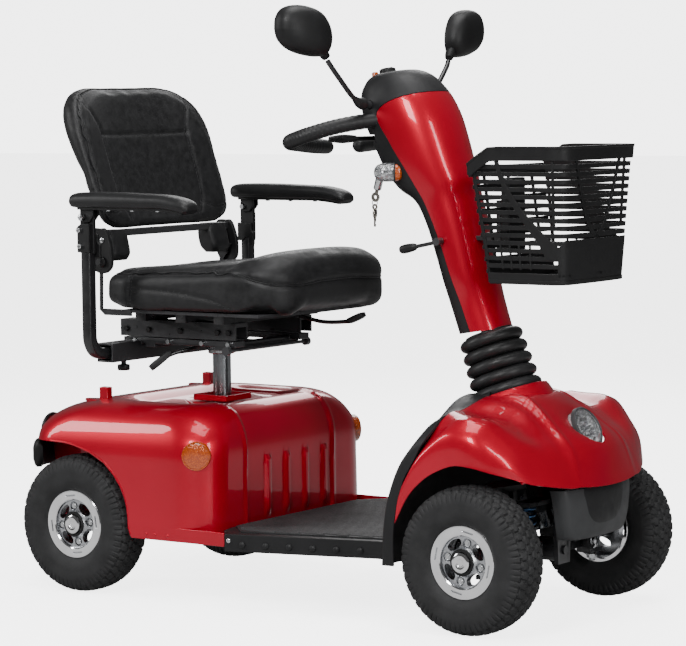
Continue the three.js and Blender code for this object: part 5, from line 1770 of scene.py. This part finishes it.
def arms():
    for side, s in SIDES:
        path = [(ARM_X, s * 8, 450), (ARM_X, s * 60, 450), (ARM_X, s * 140, 450), (ARM_X, s * 206, 450),
                (ARM_X, s * 232, 455), (ARM_X, s * 246, 474), (ARM_X, s * ARM_Y, 500),
                (ARM_X, s * ARM_Y, 560), (ARM_X, s * ARM_Y, 620), (ARM_X, s * ARM_Y, 672)]
        add(f"arm_post_{side}", tube(path, 10.8, 32, 6, rectangular(4.5)), COAT, f"arm_{side}",
            sharp=50, replaces=[f"arm_tube_{side}"])
        inner = block((ARM_X - 16, ARM_X + 17), sorted((s * 244.2, s * 251.8)), (640, 717))
        pin = rod((ARM_X - 4, s * 233, 708), (ARM_X - 4, s * 263, 708), 4.8, 24)
        lugs = prism([(16, 640), (16, 676), (50, 676), (50, 662), (56, 656), (56, 632), (44, 632), (44, 646),
                      (36, 646), (30, 640)], "y", *sorted((s * 235.5, s * 242)))
        add(f"arm_hinge_block_{side}", inner + lugs, BLACK, f"arm_{side}", bevel=1.8, sharp=40)
        head = lathe([(0, 266.6), (3.2, 266.6), (6.2, 265.2), (7.2, 263), (7.2, 260), (0, 260)],
                     (ARM_X - 4, 0, 708), (0, s, 0), 6)
        add(f"arm_pivot_pin_{side}", pin + head, ZINC, f"arm_{side}", sharp=35)
        buttons = [lathe([(0, 266), (3.6, 265.6), (5, 264), (5, 258), (0, 258)], (x, 0, z), (0, s, 0), 20)
                   for x, z in ((22, 684), (24, 654))]
        plate = prism([(ARM_X - 17, 642), (ARM_X - 17, 690), (ARM_X - 8, 696), (ARM_X + 12, 696),
                       (ARM_X + 12, 642)], "y", *sorted((s * 252.4, s * 260)))
        add(f"arm_outer_block_{side}", plate, BLACK, f"arm_{side}", bevel=2.0, sharp=40)
        add(f"arm_block_bolts_{side}", total(buttons), ZINC, f"arm_{side}")

        rows = [(3, 730, 745, 17), (6, 727, 750, 22), (14, 726, 752, 24.6), (60, 726, 753.5, 25),
                (120, 726, 753.2, 25), (180, 726, 751.5, 25), (222, 725.5, 750, 25), (246, 723, 747, 24.8),
                (264, 719.5, 743, 24), (276, 716.5, 738, 22), (283, 716, 732, 17)]
        rings = []
        for x, z0, z1, h in smooth(rows, 5):
            ring = []
            for k in range(48):
                t = 2 * math.pi * k / 48
                c, v = math.cos(t), math.sin(t)
                y = h * math.copysign(abs(c) ** 0.72, c)
                up = math.copysign(abs(v) ** (0.78 if v > 0 else 0.5), v)
                ring.append((x, s * ARM_Y + y, (z0 + z1) / 2 + (z1 - z0) / 2 * up))
            rings.append(ring)
        pad = inflated(f"arm_start_{side}", loft(rings), 4.0, 1.6, (1, -400, 712), (286, 400, 755))
        edge = [(6, s * (ARM_Y - 24), 730), (60, s * (ARM_Y - 26), 730), (150, s * (ARM_Y - 26), 730),
                (222, s * (ARM_Y - 26), 729), (262, s * (ARM_Y - 25), 723), (285, s * (ARM_Y - 10), 719),
                (286, s * ARM_Y, 719)]
        other = [(x, 2 * s * ARM_Y - y, z) for x, y, z in edge]
        carve(pad, [edge, other], 2.6, 1.3)
        obj = add(f"arm_pad_{side}", pad, GRIP, f"armrest_{side}", sharp=80,
                  replaces=[f"armrest_{side}"])
        tray = prism([(20, 722), (20, 727.5), (214, 727.5), (250, 723.5), (268, 719), (268, 715.6),
                      (248, 718.5), (214, 722)], "y", s * ARM_Y - 15, s * ARM_Y + 15)
        ears = total([prism([(22, 726), (54, 726), (54, 711), (44, 699), (26, 697), (22, 701)], "y",
                            *sorted((s * ARM_Y + k * 5.3, s * ARM_Y + k * 9)))
                      for k in (1, -1)])
        ears = combine(ears, rod((ARM_X - 4, -400, 708), (ARM_X - 4, 400, 708), 5.3, 24))
        add(f"arm_pad_tray_{side}", tray + ears, BLACK, f"armrest_{side}", bevel=1.0,
            sharp=40)
        screws = [lathe([(0, 0), (4.4, 0), (4.0, -2.2), (0, -2.6)], (x, s * ARM_Y, 722), (0, 0, 1), 16)
                  for x in (84, 140, 200)]
        add(f"arm_pad_screws_{side}", total(screws), ZINC, f"armrest_{side}")


def seat_frame():
    post = lathe([(0, 190), (16.4, 190), (17.5, 191.2), (17.5, 446), (30, 447.5), (30, 454), (29, 455),
                  (0, 455)], (SEAT_X, 0, 0), (0, 0, 1), 64)
    add("seat_post_tube", post, STEEL, "seat_post", sharp=30, replaces=["seat_post"])
    collar = lathe([(17.8, 438), (24, 438), (26, 440), (26, 445.8), (17.8, 445.8)], (SEAT_X, 0, 0), (0, 0, 1),
                   48, closed=True)
    add("swivel_clamp_ring", collar, ZINC, "seat_post", sharp=30)
    refined("swivel_base", COAT, 1.2)
    refined("seat_carriage", COAT, 1.2)

    knobs = both(lambda s: lathe([(0, 0), (5, 0), (5, -7), (11, -8), (12, -10), (12, -17), (10.5, -19),
                                  (0, -19)], (ARM_X, s * 150, 431.6), (0, 0, 1), 18))
    add("arm_width_knobs", knobs, BLACK, "swivel", sharp=40)
    bolts = []
    for s in (1, -1):
        for x in (20, 74, 150, 238, 264):
            bolts.append(lathe([(0, 0), (6, 0), (6, 4), (4.8, 5), (0, 5)], (x, s * 122, 490), (0, s, 0), 6))
    add("rail_bolts", total(bolts), BLACK, "carriage", sharp=35)
    pins = [rod((x, s * 118.2, 468), (x, s * 125, 468), 4.6, 16)
            for s in (1, -1) for x in (40, 120, 200, 262)]
    add("rail_stop_pins", total(pins), ZINC, "swivel")
    rod_across = rod((262, -128, 456), (262, 128, 456), 3.4, 16)
    rod_across = rod_across + both(lambda s: rod((262, s * 121, 456), (262, s * 131, 456), 8, 20))
    add("rail_cross_rod", rod_across, COAT, "swivel")

    flat = rectangular(5)
    arm = tube([(150, -62, 457), (142, -86, 453), (130, -106, 448), (118, -124, 441), (104, -142, 428)], 4.2,
               16, 6, section=lambda t: (flat(t)[0] * 1.35, flat(t)[1] * 0.8))
    grip_path = [(121, -119, 446.5), (119, -121.5, 444.5), (104, -141, 426.5), (98, -149, 419)]
    grip = tube(grip_path, [6.5, 8.4, 9.6, 8.2], 24, 5,
                section=lambda t: (flat(t)[0] * 1.02, flat(t)[1] * 0.72))
    add("swivel_lever_arm", arm, COAT, "swivel_lever", sharp=40, replaces=["swivel_lever"])
    add("swivel_lever_grip", grip, GRIP, "swivel_lever", sharp=50)
    s = 1 if middle("slide_lever").y > 0 else -1
    wire_path = [(284, s * 70, 511), (316, s * 70, 504), (350, s * 70, 500), (400, s * 70, 503), (418, s * 69, 509)]
    wire = rod((284, s * 83, 511), (284, s * 66, 511), 4.8, 20) + tube(wire_path, 4, 16, 6)
    handle = tube([(400, s * 69.6, 503), (408, s * 69.4, 505.6), (430, s * 68.4, 514.6),
                   (438, s * 68, 518.2)], [5.4, 7.6, 7.6, 5.8], 24, 5,
                  section=lambda t: (flat(t)[0] * 1.1, flat(t)[1] * 0.75))
    add("slide_lever_rod", wire, COAT, "slide_lever", replaces=["slide_lever"])
    add("slide_lever_grip", handle, GRIP, "slide_lever", sharp=50)


seat_cushion()
back_cushion()
back_support()
arms()
seat_frame()
